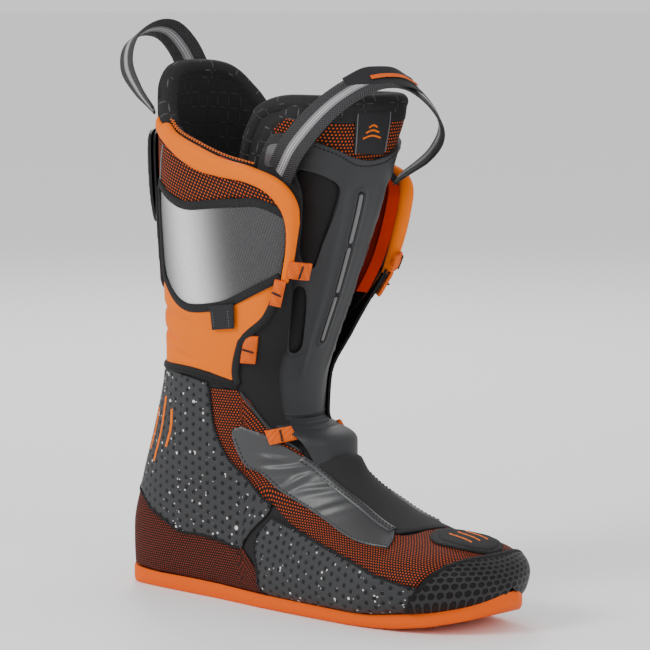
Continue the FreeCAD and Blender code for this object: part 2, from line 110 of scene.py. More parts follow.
# ---------------------------------------------------------------- curves and surfaces
def slopes(y):
    """Slopes of a smooth curve through evenly spaced rows that never overshoots them."""
    rise = np.diff(y, axis=0)
    inner = np.zeros_like(y)
    same = rise[:-1] * rise[1:] > 0
    mean = 2 * rise[:-1] * rise[1:] / np.where(same, rise[:-1] + rise[1:], 1.0)
    inner[1:-1] = np.where(same, mean, 0.0)
    inner[0], inner[-1] = rise[0], rise[-1]
    return inner


def hermite(rows, slope, x):
    x = np.asarray(x, float)
    i = np.clip(np.floor(x).astype(int), 0, len(rows) - 2)
    t = (x - i)[..., None]
    a = rows[i] * (1 + 2 * t) + slope[i] * t
    b = rows[i + 1] * (3 - 2 * t) - slope[i + 1] * (1 - t)
    return a * (1 - t) ** 2 + b * t * t


def ease(low, high, x):
    t = np.clip((x - low) / (high - low), 0, 1)
    return t * t * (3 - 2 * t)


class Loft:
    """A lofted surface of station u and angle a (degrees), with normals and lengths along it."""

    def __init__(self, rows, angles):
        self.rows = rows
        self.slope = slopes(rows)
        self.last = len(rows) - 1
        u = np.linspace(0, self.last, self.last * 8 + 1)
        a = np.linspace(angles[0], angles[1], 181)
        grid = self.point(*np.meshgrid(u, a, indexing="ij"))
        down = np.linalg.norm(np.diff(grid, axis=0), axis=2)
        round_ = np.linalg.norm(np.diff(grid, axis=1), axis=2)
        self.down = np.vstack([np.zeros(len(a)), np.cumsum(down, axis=0)])
        self.round = np.hstack([np.zeros((len(u), 1)), np.cumsum(round_, axis=1)])
        self.round -= self.round[:, [np.abs(a).argmin()]]
        self.angles = angles

    def lengths(self, u, a):
        """Distances in mm down and round the surface to each point."""
        rows, cols = self.down.shape
        x = np.clip(u / self.last * (rows - 1), 0, rows - 1.001)
        y = np.clip((a - self.angles[0]) / (self.angles[1] - self.angles[0]) * (cols - 1), 0, cols - 1.001)
        i, j = x.astype(int), y.astype(int)
        s, t = x - i, y - j
        out = []
        for g in (self.down, self.round):
            out.append((g[i, j] * (1 - t) + g[i, j + 1] * t) * (1 - s)
                       + (g[i + 1, j] * (1 - t) + g[i + 1, j + 1] * t) * s)
        return np.stack(out, axis=-1)

    def normal(self, u, a):
        e = 0.03
        du = self.point(np.minimum(u + e, self.last), a) - self.point(np.maximum(u - e, 0), a)
        da = self.point(u, a + 1.2) - self.point(u, a - 1.2)
        n = np.cross(du, da)
        n /= np.maximum(np.linalg.norm(n, axis=-1, keepdims=True), 1e-9)
        out = self.point(u, a) - self.core(u, a)
        return n * np.sign((n * out).sum(-1, keepdims=True) + 1e-12)

    def at(self, u, a, height=0.0):
        u = np.clip(np.asarray(u, float), 0.0, self.last - 0.02)
        u, a, height = np.broadcast_arrays(u, np.asarray(a, float), np.asarray(height, float))
        return self.point(u, a) + self.normal(u, a) * height[..., None]


def arms(a, n):
    c, s = np.cos(np.radians(a)), np.sin(np.radians(a))
    r = (np.abs(c) ** n + np.abs(s) ** n) ** (-1.0 / n)
    return c * r, s * r


class Boot(Loft):
    """Angle 0 is the rear or sole line, 90 the lateral side, 180 the front, 270 the medial side."""

    def parts(self, u):
        q = hermite(self.rows, self.slope, u)
        half = np.hypot(q[..., 2] - q[..., 0], q[..., 3] - q[..., 1]) / 2
        return q, half

    def core(self, u, a):
        q, half = self.parts(u)
        return np.stack([(q[..., 0] + q[..., 2]) / 2, q[..., 5], (q[..., 1] + q[..., 3]) / 2], axis=-1)

    def point(self, u, a, shrink=0.0):
        q, half = self.parts(u)
        turn = np.mod(a, 360.0)
        n = np.where(np.cos(np.radians(turn)) > 0, q[..., 6], q[..., 7])
        along, across = arms(turn, n)
        dx, dz = (q[..., 2] - q[..., 0]) / (2 * half), (q[..., 3] - q[..., 1]) / (2 * half)
        along = along * (half - shrink)
        flare = MEDIAL_FLARE * ease(180, 205, turn) * (1 - ease(215, 250, turn)) * (1 - ease(2.6, 3.6, u))
        return np.stack([(q[..., 0] + q[..., 2]) / 2 - dx * along,
                         q[..., 5] - (q[..., 4] - shrink) * across + flare,
                         (q[..., 1] + q[..., 3]) / 2 - dz * along], axis=-1)


class Tongue(Loft):
    """Angle 0 is the front centre line, 90 the lateral wing edge and -90 the medial one."""

    def core(self, u, a):
        q = hermite(self.rows, self.slope, u)
        return np.stack([q[..., 2] - 10, q[..., 6], q[..., 3]], axis=-1)

    def point(self, u, a, shrink=0.0):
        q = hermite(self.rows, self.slope, u)
        along, across = arms(a, q[..., 5])
        depth = np.hypot(q[..., 0] - q[..., 2], q[..., 1] - q[..., 3])
        along = along * (depth - shrink) / depth
        return np.stack([q[..., 2] + (q[..., 0] - q[..., 2]) * along,
                         q[..., 6] - (q[..., 4] - shrink) * across,
                         q[..., 3] + (q[..., 1] - q[..., 3]) * along], axis=-1)


boot = Boot(SECTIONS, (-180, 360))
tongue = Tongue(TONGUE_SECTIONS, (-100, 100))


def sample(at, s, values):
    """Columns of values, known at distances s, read at other distances."""
    return np.stack([np.interp(at, s, column) for column in values.T], axis=1)


def run_lengths(points):
    """Distance along a line of points to each of them."""
    return np.r_[0, np.cumsum(np.linalg.norm(np.diff(points, axis=0), axis=1))]


def spline(points, count):
    """Smooth curve through the points, evenly spread along its length."""
    p = np.asarray(points, float)
    if len(p) == 2:
        t = np.linspace(0, 1, count)[:, None]
        return p[0] * (1 - t) + p[1] * t
    ends = np.vstack([2 * p[0] - p[1], p, 2 * p[-1] - p[-2]])
    dense = []
    for i in range(len(p) - 1):
        p0, p1, p2, p3 = ends[i:i + 4]
        t = np.linspace(0, 1, 24, endpoint=False)[:, None]
        dense.append(0.5 * (2 * p1 + (p2 - p0) * t + (2 * p0 - 5 * p1 + 4 * p2 - p3) * t ** 2
                            + (3 * p1 - p0 - 3 * p2 + p3) * t ** 3))
    dense = np.vstack(dense + [p[-1:]])
    s = run_lengths(dense)
    return sample(np.linspace(0, s[-1], count), s, dense)


def turned(edge, turn):
    """An edge as it is for turn 1, or on the medial side for turn -1."""
    return [(u, turn * a) for u, a in edge]


def mirror(runs):
    """The same outline on the medial side of the boot."""
    return [[(u, 360 - a) for u, a in run] for run in runs]


# ---------------------------------------------------------------- meshes
def add_mesh(name, verts, faces, uvs=None, material=None, sharp=40):
    mesh = bpy.data.meshes.new(name)
    mesh.from_pydata((np.asarray(verts) * MM).tolist(), [], [list(map(int, f)) for f in faces])
    if uvs is not None:
        layer = mesh.uv_layers.new(name="UVMap")
        index = np.zeros(len(mesh.loops), dtype=np.int32)
        mesh.loops.foreach_get("vertex_index", index)
        layer.data.foreach_set("uv", (np.asarray(uvs)[index] * MM).astype(np.float32).ravel())
    obj = bpy.data.objects.new(name, mesh)
    bpy.context.scene.collection.objects.link(obj)
    mesh.shade_smooth()
    mesh.set_sharp_from_angle(angle=math.radians(sharp))
    if material:
        mesh.materials.append(material)
    return obj


def foot_lengths(points):
    """Lengths in mm over the foot that stay square to each other: up and over it, and along it."""
    x, y, z = points.T
    heel = -105.0
    turn = np.arctan2(np.abs(y), np.maximum(heel - x, 1e-6))
    along = np.where(x < heel, heel - 36 * (np.pi / 2 - turn), x)
    over = 45 * np.arctan2(np.minimum(z, 72) - 25, np.abs(y)) + np.maximum(z - 72, 0)
    rise = np.where(x < -30, z + 45 * np.pi / 4 - 47, over)
    blend_ = ease(-45, -10, x)
    return np.stack([(z - 12) * (1 - blend_) + rise * blend_, along], axis=1)


def toe_lengths(points):
    """Lengths in mm over the toe, outwards from a point behind it and round that point."""
    x, y, z = points.T
    out = np.hypot(x - 85, y - 3) + 45 - z
    return np.stack([out, np.arctan2(y - 3, x - 85) * 45], axis=1)


def inside(points, polygon):
    """Which 2D points lie inside a closed polygon."""
    x, y = points[:, 0], points[:, 1]
    hit = np.zeros(len(points), bool)
    for (x1, y1), (x2, y2) in zip(polygon, np.roll(polygon, -1, axis=0)):
        cross = (y1 > y) != (y2 > y)
        with np.errstate(divide="ignore", invalid="ignore"):
            hit ^= cross & (x < (x2 - x1) * (y - y1) / (y2 - y1) + x1)
    return hit


def edge_distance(points, polygon):
    best = np.full(len(points), 1e9)
    for a, b in zip(polygon, np.roll(polygon, -1, axis=0)):
        ab = b - a
        t = np.clip(((points - a) @ ab) / max(ab @ ab, 1e-12), 0, 1)
        best = np.minimum(best, np.linalg.norm(points - (a + t[:, None] * ab), axis=1))
    return best


def nearest_edge(points, rings):
    return np.min([edge_distance(points, ring) for ring in rings], axis=0)


def in_region(points, rings):
    """Inside the first outline and outside the holes that follow it."""
    keep = inside(points, rings[0])
    for ring in rings[1:]:
        keep &= ~inside(points, ring)
    return keep


def closed_outline(runs, scale, step):
    """Polygon from runs of points, each run smooth, with a corner where two runs meet."""
    loops = []
    for run in runs:
        p = np.asarray(run, float) * scale
        length = np.linalg.norm(np.diff(p, axis=0), axis=1).sum()
        loops.append(spline(p, max(2, int(length / step) + 1))[:-1])
    return np.vstack(loops)


def sheet(name, surface, runs, level, thickness, material, holes=(), step=1.6, round_edge=0.7, bumps=None,
          square=None):
    """Closed thin piece lying on a surface inside an outline, with rounded edges and optional bumps.

    level is its top above the surface in mm. bumps takes (u, a, lengths, edge distance) and gives mm."""
    flat = np.asarray([p for run in runs for p in run], float)
    mid = (flat.min(0) + flat.max(0)) / 2
    du = np.linalg.norm(surface.at(mid[0] + 0.1, mid[1]) - surface.at(mid[0] - 0.1, mid[1])) / 0.2
    da = np.linalg.norm(surface.at(mid[0], mid[1] + 1) - surface.at(mid[0], mid[1] - 1)) / 2
    scale = np.array([max(du, 1.0), max(da, 0.1)])
    rings = [closed_outline(runs, scale, step)] + [closed_outline(h, scale, step) for h in holes]
    low, high = rings[0].min(0), rings[0].max(0)
    xs = np.arange(low[0], high[0], step)
    ys = np.arange(low[1], high[1], step * 0.866)
    gx, gy = np.meshgrid(xs, ys)
    gx[1::2] += step / 2
    grid = np.stack([gx.ravel(), gy.ravel()], axis=1)
    grid = grid[in_region(grid, rings)]
    grid = grid[nearest_edge(grid, rings) > step * 0.55]
    points = np.vstack(rings + [grid])
    edges, start = [], 0
    for ring in rings:
        edges += [(start + i, start + (i + 1) % len(ring)) for i in range(len(ring))]
        start += len(ring)
    out = delaunay_2d_cdt([Vector(p) for p in points], edges, [], 0, 1e-5)
    q = np.array([(v.x, v.y) for v in out[0]])
    tris = np.array(out[2])
    tris = tris[in_region(q[tris].mean(axis=1), rings)]
    used = np.unique(tris)
    remap = -np.ones(len(q), int)
    remap[used] = np.arange(len(used))
    q, tris = q[used], remap[tris]
    a, b, c = q[tris[:, 0]], q[tris[:, 1]], q[tris[:, 2]]
    turn = (b[:, 0] - a[:, 0]) * (c[:, 1] - a[:, 1]) - (b[:, 1] - a[:, 1]) * (c[:, 0] - a[:, 0])
    tris = np.where((turn > 0)[:, None], tris, tris[:, ::-1])
    distance = nearest_edge(q, rings)
    u, ang = (q / scale).T
    lengths = surface.lengths(u, ang)
    height = np.full(len(q), float(level))
    if round_edge:
        drop = np.clip(1 - distance / (round_edge * 1.6), 0, 1)
        height -= round_edge * (1 - np.sqrt(1 - drop ** 2 * 0.98))
    if bumps is not None:
        height = height + bumps(u, ang, lengths, distance)
    top = surface.at(u, ang, height)
    bottom = surface.at(u, ang, level - thickness)
    count = len(q)
    first = tris[0]
    normal = np.cross(top[first[1]] - top[first[0]], top[first[2]] - top[first[0]])
    if normal @ (top[first[0]] - bottom[first[0]]) < 0:
        tris = tris[:, ::-1]
    pairs = np.vstack([tris[:, [0, 1]], tris[:, [1, 2]], tris[:, [2, 0]]])
    key = np.sort(pairs, axis=1)
    _, first_seen, times = np.unique(key, axis=0, return_index=True, return_counts=True)
    rim = pairs[first_seen[times == 1]]
    faces = tris.tolist() + (tris[:, ::-1] + count).tolist()
    faces += [[i2, i1, i1 + count, i2 + count] for i1, i2 in rim.tolist()]
    if square:
        lengths = square(surface.at(u, ang))
    return add_mesh(name, np.vstack([top, bottom]), faces, np.vstack([lengths, lengths]), material)


def grid_solid(name, outer, inner, uvs, material):
    """Closed solid between two grids of points."""
    rows, cols = outer.shape[:2]
    count = rows * cols
    index = np.arange(count).reshape(rows, cols)
    faces = []
    for j in range(cols - 1):
        for i in range(rows - 1):
            faces.append([index[i, j], index[i + 1, j], index[i + 1, j + 1], index[i, j + 1]])
    faces += [[f + count for f in reversed(face)] for face in faces]
    border = [(index[0, j], index[0, j + 1]) for j in range(cols - 1)]
    border += [(index[-1, j + 1], index[-1, j]) for j in range(cols - 1)]
    border += [(index[i + 1, 0], index[i, 0]) for i in range(rows - 1)]
    border += [(index[i, -1], index[i + 1, -1]) for i in range(rows - 1)]
    faces += [[a, b, b + count, a + count] for a, b in border]
    verts = np.vstack([outer.reshape(-1, 3), inner.reshape(-1, 3)])
    flat = uvs.reshape(-1, 2)
    obj = add_mesh(name, verts, faces, np.vstack([flat, flat]), material)
    outward = (outer - inner).reshape(-1, 3)
    quad = faces[len(faces) // 7]
    normal = np.cross(verts[quad[1]] - verts[quad[0]], verts[quad[2]] - verts[quad[0]])
    if normal @ outward[quad[0] % count] < 0:
        obj.data.flip_normals()
    return obj


def beads(name, centres, aheads, normals, length, radius, material):
    """Many short thread stitches, each a small capsule, in one mesh."""
    along = np.array([-0.5, -0.42, 0, 0.42, 0.5])
    size = np.array([0.15, 0.75, 1.0, 0.75, 0.15])
    turn = np.linspace(0, 2 * np.pi, 6, endpoint=False)
    side = np.cross(aheads, normals)
    base = centres[:, None, None] + aheads[:, None, None] * (along * length)[None, :, None, None]
    ring = (np.cos(turn)[None, None, :, None] * normals[:, None, None]
            + np.sin(turn)[None, None, :, None] * side[:, None, None]) * (size * radius)[None, :, None, None]
    verts = (base + ring).reshape(-1, 3)
    block = np.arange(30).reshape(5, 6)
    nxt = np.roll(block, -1, axis=1)
    quads = np.stack([block[:-1], block[1:], nxt[1:], nxt[:-1]], axis=-1).reshape(-1, 4)
    shift = (np.arange(len(centres)) * 30)[:, None, None]
    faces = (quads[None] + shift).reshape(-1, 4).tolist()
    faces += (block[0][None] + shift[:, 0]).tolist() + (block[4][::-1][None] + shift[:, 0]).tolist()
    return add_mesh(name, verts, faces, None, material)


def seam(name, surface, runs, height, material, length=2.3, gap=0.9, radius=0.28, zigzag=0.0):
    """Rows of stitches along lines on a surface; zigzag turns every other stitch across the line."""
    centres, aheads, normals = [], [], []
    for run in runs:
        dense = spline(run, 200)
        pos = surface.at(dense[:, 0], dense[:, 1], height)
        s = run_lengths(pos)
        mids = np.arange((length + gap) / 2, s[-1], length + gap if not zigzag else gap)
        q = sample(mids, s, dense)
        here = sample(mids, s, pos)
        ahead = sample(mids + 0.4, s, pos) - sample(mids - 0.4, s, pos)
        ahead /= np.maximum(np.linalg.norm(ahead, axis=1, keepdims=True), 1e-9)
        n = surface.normal(np.clip(q[:, 0], 0.05, surface.last - 0.05), q[:, 1])
        if zigzag:
            side = np.cross(n, ahead)
            lean = np.where(np.arange(len(mids)) % 2, zigzag, -zigzag)[:, None]
            ahead = ahead + side * lean
            ahead /= np.linalg.norm(ahead, axis=1, keepdims=True)
        centres.append(here)
        aheads.append(ahead)
        normals.append(n)
    return beads(name, np.vstack(centres), np.vstack(aheads), np.vstack(normals), length, radius, material)


def ribbon(name, path, flats, width, thickness, material, rows=90, cols=13, crown=0.25):
    """Webbing along a path in mm; flats are its width directions at the path's points."""
    line = spline(path, rows)
    wide = spline(flats, rows)
    ahead = np.gradient(line, axis=0)
    ahead /= np.linalg.norm(ahead, axis=1, keepdims=True)
    wide = wide - ahead * (wide * ahead).sum(1, keepdims=True)
    wide /= np.linalg.norm(wide, axis=1, keepdims=True)
    normal = np.cross(ahead, wide)
    t = np.linspace(-1, 1, cols)
    half = thickness / 2 * (1 - np.abs(t) ** 8 * 0.75)
    bow = crown * (1 - t ** 2)
    grids = []
    for side in (1, -1):
        grids.append(line[:, None] + wide[:, None] * (t * width / 2)[None, :, None]
                     + normal[:, None] * (half * side + bow)[None, :, None])
    s = run_lengths(line)
    uvs = np.stack(np.meshgrid(s, t * width / 2, indexing="ij"), axis=-1)
    return grid_solid(name, grids[0], grids[1], uvs, material)


def row(edge, count):
    return spline(np.asarray(edge, float), count)


def between(edge_a, edge_b, rows, cols):
    """Grid of surface coordinates from one edge to the other, and how far across each row is."""
    a, b = row(edge_a, cols), row(edge_b, cols)
    t = np.linspace(0, 1, rows)[:, None, None]
    grid = a[None] * (1 - t) + b[None] * t
    return grid[..., 0], grid[..., 1], t[..., 0]


def lining(name, surface, edge_a, edge_b, depths, rows, cols, material, swell=None):
    """Closed lining between two edges, from one depth inside the surface to another."""
    u, ang, t = between(edge_a, edge_b, rows, cols)
    more = 0 if swell is None else swell(t, ang)
    return grid_solid(name, surface.point(u, ang, depths[0]), surface.point(u, ang, depths[1] + more),
                      surface.lengths(u, ang), material)


def wall(name, surface, edge_a, edge_b, level, inner, material, rows=30, cols=80, close_tip=False, bumps=None,
         square=None):
    """Closed wall between two edges. inner is a shrink in mm, or a level above the surface if negative."""
    u, ang, _ = between(edge_a, edge_b, rows, cols)
    height = np.full(u.shape, float(level))
    lengths = surface.lengths(u, ang)
    if bumps is not None:
        height = height + bumps(u, ang, lengths)
    outer = surface.at(u, ang, height)
    if inner >= 0 and surface is boot:
        back = TOE_LAG * ease(14, 18.6, u)
        under = surface.point(np.maximum(u - back, 0), ang, inner)
    elif inner >= 0:
        under = surface.point(u, ang, inner)
    else:
        under = surface.at(u, ang, inner)
    if close_tip:
        for g in (outer, under):
            g[-1] = g[-1].mean(axis=0)
    if square:
        lengths = square(outer.reshape(-1, 3)).reshape(rows, cols, 2)
    return grid_solid(name, outer, under, lengths, material)


def roll(name, outer, inner, centre, reach, material, squared=2.4, sides=18, sink=0.25):
    """Rounded edge laid along the rim of a wall, from its outer line to its inner line of points."""
    mid, across = (outer + inner) / 2, (outer - inner) / 2
    ahead = np.gradient(mid, axis=0)
    ahead /= np.linalg.norm(ahead, axis=1, keepdims=True)
    up = np.cross(ahead, across)
    up /= np.linalg.norm(up, axis=1, keepdims=True)
    up *= np.sign((up * (mid - np.asarray(centre))).sum(1, keepdims=True))
    turn = np.linspace(0, 2 * np.pi, sides, endpoint=False)
    c, s = np.cos(turn), np.sin(turn)
    r = (np.abs(c) ** squared + np.abs(s) ** squared) ** (-1 / squared)
    taper = np.ones(len(mid))
    ends = min(4, len(mid) // 3)
    taper[:ends] = np.sqrt(1 - (1 - (np.arange(ends) + 0.3) / ends) ** 2)
    taper[-ends:] = taper[:ends][::-1]
    reach = np.broadcast_to(reach, len(mid))
    ring = mid[:, None] + across[:, None] * (c * r)[None, :, None] * taper[:, None, None] \
        + up[:, None] * ((s * r)[None, :] * (reach * taper)[:, None] - (reach * sink)[:, None])[..., None]
    n = len(mid)
    verts = ring.reshape(-1, 3)
    index = np.arange(len(verts)).reshape(n, sides)
    nxt = np.roll(index, -1, axis=1)
    faces = np.stack([index[:-1], nxt[:-1], nxt[1:], index[1:]], axis=-1).reshape(-1, 4).tolist()
    faces += [index[0, ::-1].tolist(), index[-1].tolist()]
    length = run_lengths(mid)
    girth = np.linspace(0, 2 * np.pi, sides, endpoint=False) * 6
    uvs = np.stack([np.repeat(length, sides), np.tile(girth, n)], axis=1)
    obj = add_mesh(name, verts, faces, uvs, material, sharp=80)
    face = faces[len(faces) // 2]
    normal = np.cross(verts[face[1]] - verts[face[0]], verts[face[2]] - verts[face[0]])
    if normal @ (verts[face[0]] - mid[face[0] // sides]) < 0:
        obj.data.flip_normals()
    return obj


def edge_roll(name, surface, edge, count, level, depth, centre, reach, material, squared=2.4):
    """Rounded edge along a line of a wall, from level above the surface to depth inside it."""
    line = row(edge, count)
    return roll(name, surface.at(line[:, 0], line[:, 1], level), surface.point(line[:, 0], line[:, 1], depth),
                centre, reach, material, squared)


def closed(*runs):
    """Runs of a closed outline, each going on from the last point of the one before."""
    starts = [runs[-1][-1]] + [run[-1] for run in runs[:-1]]
    return [[start] + run for start, run in zip(starts, runs)]


def strip_outline(surface, path, width, count=40):
    """Runs of an outline a given width in mm either side of a line on a surface."""
    line = spline(path, count)
    p = surface.at(line[:, 0], line[:, 1])
    pu = surface.at(line[:, 0] + 0.05, line[:, 1]) - p
    pa = surface.at(line[:, 0], line[:, 1] + 1) - p
    mu, ma = np.linalg.norm(pu, axis=1) / 0.05, np.linalg.norm(pa, axis=1)
    flat = np.gradient(line, axis=0) * np.stack([mu, ma], axis=1)
    flat /= np.linalg.norm(flat, axis=1, keepdims=True)
    side = np.stack([-flat[:, 1], flat[:, 0]], axis=1) / np.stack([mu, ma], axis=1)
    half = np.broadcast_to(width, count)[:, None] / 2
    left, right = line + side * half, line - side * half
    return [left[::3].tolist() + [left[-1].tolist()], [left[-1].tolist(), right[-1].tolist()],
            [right[-1].tolist()] + right[::-3][1:].tolist() + [right[0].tolist()],
            [right[0].tolist(), left[0].tolist()]]


def strip(name, surface, path, width, level, thickness, material, step=1.3, round_edge=0.5, bumps=None):
    return sheet(name, surface, strip_outline(surface, path, width), level, thickness, material,
                 step=step, round_edge=round_edge, bumps=bumps)


# ---------------------------------------------------------------- materials
class Paint:
    """A procedural material and the few node helpers its pattern needs."""

    def __init__(self, name, color, rough=0.7, metal=0.0, coat=0.0, specular=0.5):
        self.mat = bpy.data.materials.new(name)
        self.mat.use_nodes = True
        self.tree = self.mat.node_tree
        self.shader = self.tree.nodes["Principled BSDF"]
        self.set("Base Color", (*color, 1))
        self.set("Roughness", rough)
        self.set("Metallic", metal)
        self.set("Coat Weight", coat)
        self.set("Specular IOR Level", specular)

    def set(self, socket, value):
        self.shader.inputs[socket].default_value = value

    def link(self, value, socket):
        if hasattr(value, "is_linked"):
            self.tree.links.new(value, socket)
        else:
            socket.default_value = value

    def math(self, kind, a, b=0.0, c=0.0):
        n = self.tree.nodes.new("ShaderNodeMath")
        n.operation = kind
        for value, socket in zip((a, b, c), n.inputs):
            self.link(value, socket)
        return n.outputs[0]

    def uv(self, width, height):
        """UV in cells of width by height millimetres, as (down the surface, round it)."""
        n = self.tree.nodes.new("ShaderNodeUVMap")
        n.uv_map = "UVMap"
        s = self.tree.nodes.new("ShaderNodeSeparateXYZ")
        self.tree.links.new(n.outputs[0], s.inputs[0])
        return self.math("DIVIDE", s.outputs[0], height * MM), self.math("DIVIDE", s.outputs[1], width * MM)

    def staggered(self, width, height, angle=0.0):
        """Distance from the nearest centre of a staggered grid, in cells, 0 at a centre."""
        down, along = self.uv(width, height)
        if angle:
            c, s = math.cos(angle), math.sin(angle)
            down, along = (self.math("ADD", self.math("MULTIPLY", down, c), self.math("MULTIPLY", along, s)),
                           self.math("SUBTRACT", self.math("MULTIPLY", along, c),
                                     self.math("MULTIPLY", down, s)))
        rows = self.math("FLOOR", down)
        odd = self.math("MULTIPLY", self.math("MODULO", self.math("ABSOLUTE", rows), 2.0), 0.5)
        x = self.math("SUBTRACT", self.math("FRACT", self.math("ADD", along, odd)), 0.5)
        y = self.math("SUBTRACT", self.math("FRACT", down), 0.5)
        return x, y

    def blob(self, x, y, rx, ry, soft=0.25):
        """1 inside an ellipse, 0 outside."""
        a = self.math("POWER", self.math("ABSOLUTE", self.math("DIVIDE", x, rx)), 2.0)
        b = self.math("POWER", self.math("ABSOLUTE", self.math("DIVIDE", y, ry)), 2.0)
        d = self.math("ADD", a, b)
        n = self.tree.nodes.new("ShaderNodeMapRange")
        n.inputs["From Min"].default_value = 1 + soft
        n.inputs["From Max"].default_value = 1 - soft
        self.link(d, n.inputs["Value"])
        return n.outputs[0]

    def noise(self, scale, detail=2.0):
        n = self.tree.nodes.new("ShaderNodeTexNoise")
        c = self.tree.nodes.new("ShaderNodeTexCoord")
        self.tree.links.new(c.outputs["Object"], n.inputs["Vector"])
        n.inputs["Scale"].default_value = scale
        n.inputs["Detail"].default_value = detail
        return n.outputs[0]

    def voronoi(self, scale):
        n = self.tree.nodes.new("ShaderNodeTexVoronoi")
        c = self.tree.nodes.new("ShaderNodeTexCoord")
        self.tree.links.new(c.outputs["Object"], n.inputs["Vector"])
        n.inputs["Scale"].default_value = scale
        s = self.tree.nodes.new("ShaderNodeSeparateColor")
        self.tree.links.new(n.outputs["Color"], s.inputs[0])
        return n.outputs["Distance"], s.outputs[0], s.outputs[1]

    def mix(self, factor, a, b):
        n = self.tree.nodes.new("ShaderNodeMix")
        n.data_type = "RGBA"
        self.link(factor, n.inputs[0])
        for value, socket in ((a, n.inputs[6]), (b, n.inputs[7])):
            if isinstance(value, tuple):
                socket.default_value = (*value, 1)
            else:
                self.tree.links.new(value, socket)
        return n.outputs[2]

    def bump(self, height, depth):
        """depth is in millimetres for a height from 0 to 1."""
        n = self.tree.nodes.new("ShaderNodeBump")
        n.inputs["Distance"].default_value = depth * MM
        self.tree.links.new(height, n.inputs["Height"])
        self.tree.links.new(n.outputs[0], self.shader.inputs["Normal"])

    def base(self, color):
        self.tree.links.new(color, self.shader.inputs["Base Color"])


def plain(name, color, rough=0.7, grain=600, depth=0.12, **more):
    more.setdefault("specular", 0.25)
    p = Paint(name, color, rough, **more)
    p.bump(p.noise(grain, 3.0), depth)
    return p.mat


def dotted(name, ground, dot, width, height, rx, ry, angle=0.0, rough=0.85, depth=-0.5):
    p = Paint(name, ground, rough, specular=0.2)
    x, y = p.staggered(width, height, angle)
    mask = p.blob(x, y, rx, ry)
    p.base(p.mix(mask, ground, dot))
    p.bump(mask, depth)
    return p.mat


def speckled(name):
    p = Paint(name, (0.03, 0.031, 0.033), 0.62, specular=0.3)
    mask = None
    for scale, share, size in ((260, 0.88, 0.30), (520, 0.90, 0.36)):
        distance, one, two = p.voronoi(scale)
        limit = p.math("MULTIPLY_ADD", two, size, 0.06)
        here = p.math("MULTIPLY", p.math("LESS_THAN", distance, limit), p.math("GREATER_THAN", one, share))
        mask = here if mask is None else p.math("MAXIMUM", mask, here)
    x, y = p.staggered(6.4, 5.3, 0.5)
    shaded_hole = p.blob(x, y, 0.17, 0.21, 0.2)
    rim = p.blob(x, y, 0.25, 0.30, 0.5)
    color = p.mix(mask, (0.03, 0.031, 0.033), (0.62, 0.62, 0.62))
    # painted shade: each perforation hole is coloured near-black for the shade inside it
    color = p.mix(shaded_hole, color, (0.002, 0.002, 0.002))
    p.base(color)
    height = p.math("SUBTRACT", p.math("MULTIPLY", p.noise(700, 3.0), 0.15),
                    p.math("ADD", shaded_hole, p.math("MULTIPLY", rim, 0.7)))
    p.bump(height, 0.7)
    return p.mat


def webbing(name, dark, light, stripe=False):
    p = Paint(name, dark, 0.75, specular=0.25)
    down, along = p.uv(2.3, 1.5)
    col = p.math("MODULO", p.math("ABSOLUTE", p.math("FLOOR", along)), 2.0)
    lean = p.math("MULTIPLY", p.math("SUBTRACT", p.math("MULTIPLY", col, 2.0), 1.0), p.math("FRACT", along))
    wave = p.math("PINGPONG", p.math("ADD", down, p.math("MULTIPLY", lean, 1.3)), 0.5)
    wave = p.math("MULTIPLY", wave, 2.0)
    color = p.mix(p.math("MULTIPLY", wave, 0.55), dark, light)
    if stripe:
        _, across = p.uv(1.0, 1.0)
        side = p.math("ABSOLUTE", across)
        band = p.math("LESS_THAN", side, 3.0)
        color = p.mix(p.math("MULTIPLY", band, 0.8), color, (0.26, 0.26, 0.27))
        line = p.math("MULTIPLY", p.math("GREATER_THAN", side, 0.45), p.math("LESS_THAN", side, 1.15))
        color = p.mix(p.math("MULTIPLY", line, 0.7), color, (0.6, 0.6, 0.61))
    p.base(color)
    p.bump(wave, 0.35)
    return p.mat


def dashes(name, ground, mark):
    """Brushed cloth with short embossed dashes that alternate in direction."""
    p = Paint(name, ground, 0.85, specular=0.2)
    color, height = ground, None
    for turned in (False, True):
        down, along = p.uv(9.0, 9.0)
        if turned:
            down, along = p.math("ADD", down, 0.5), p.math("ADD", along, 0.5)
        x = p.math("SUBTRACT", p.math("FRACT", along), 0.5)
        y = p.math("SUBTRACT", p.math("FRACT", down), 0.5)
        mask = p.blob(x, y, *((0.05, 0.36) if turned else (0.36, 0.05)), 0.4)
        height = mask if height is None else p.math("MAXIMUM", height, mask)
    patchy = p.math("MULTIPLY", p.math("GREATER_THAN", p.noise(70, 1.0), 0.5), p.noise(300))
    color = p.mix(p.math("MULTIPLY", height, patchy), ground, mark)
    p.base(color)
    p.bump(p.math("ADD", p.math("MULTIPLY", p.noise(900, 3.0), 0.4), height), 0.35)
    return p.mat


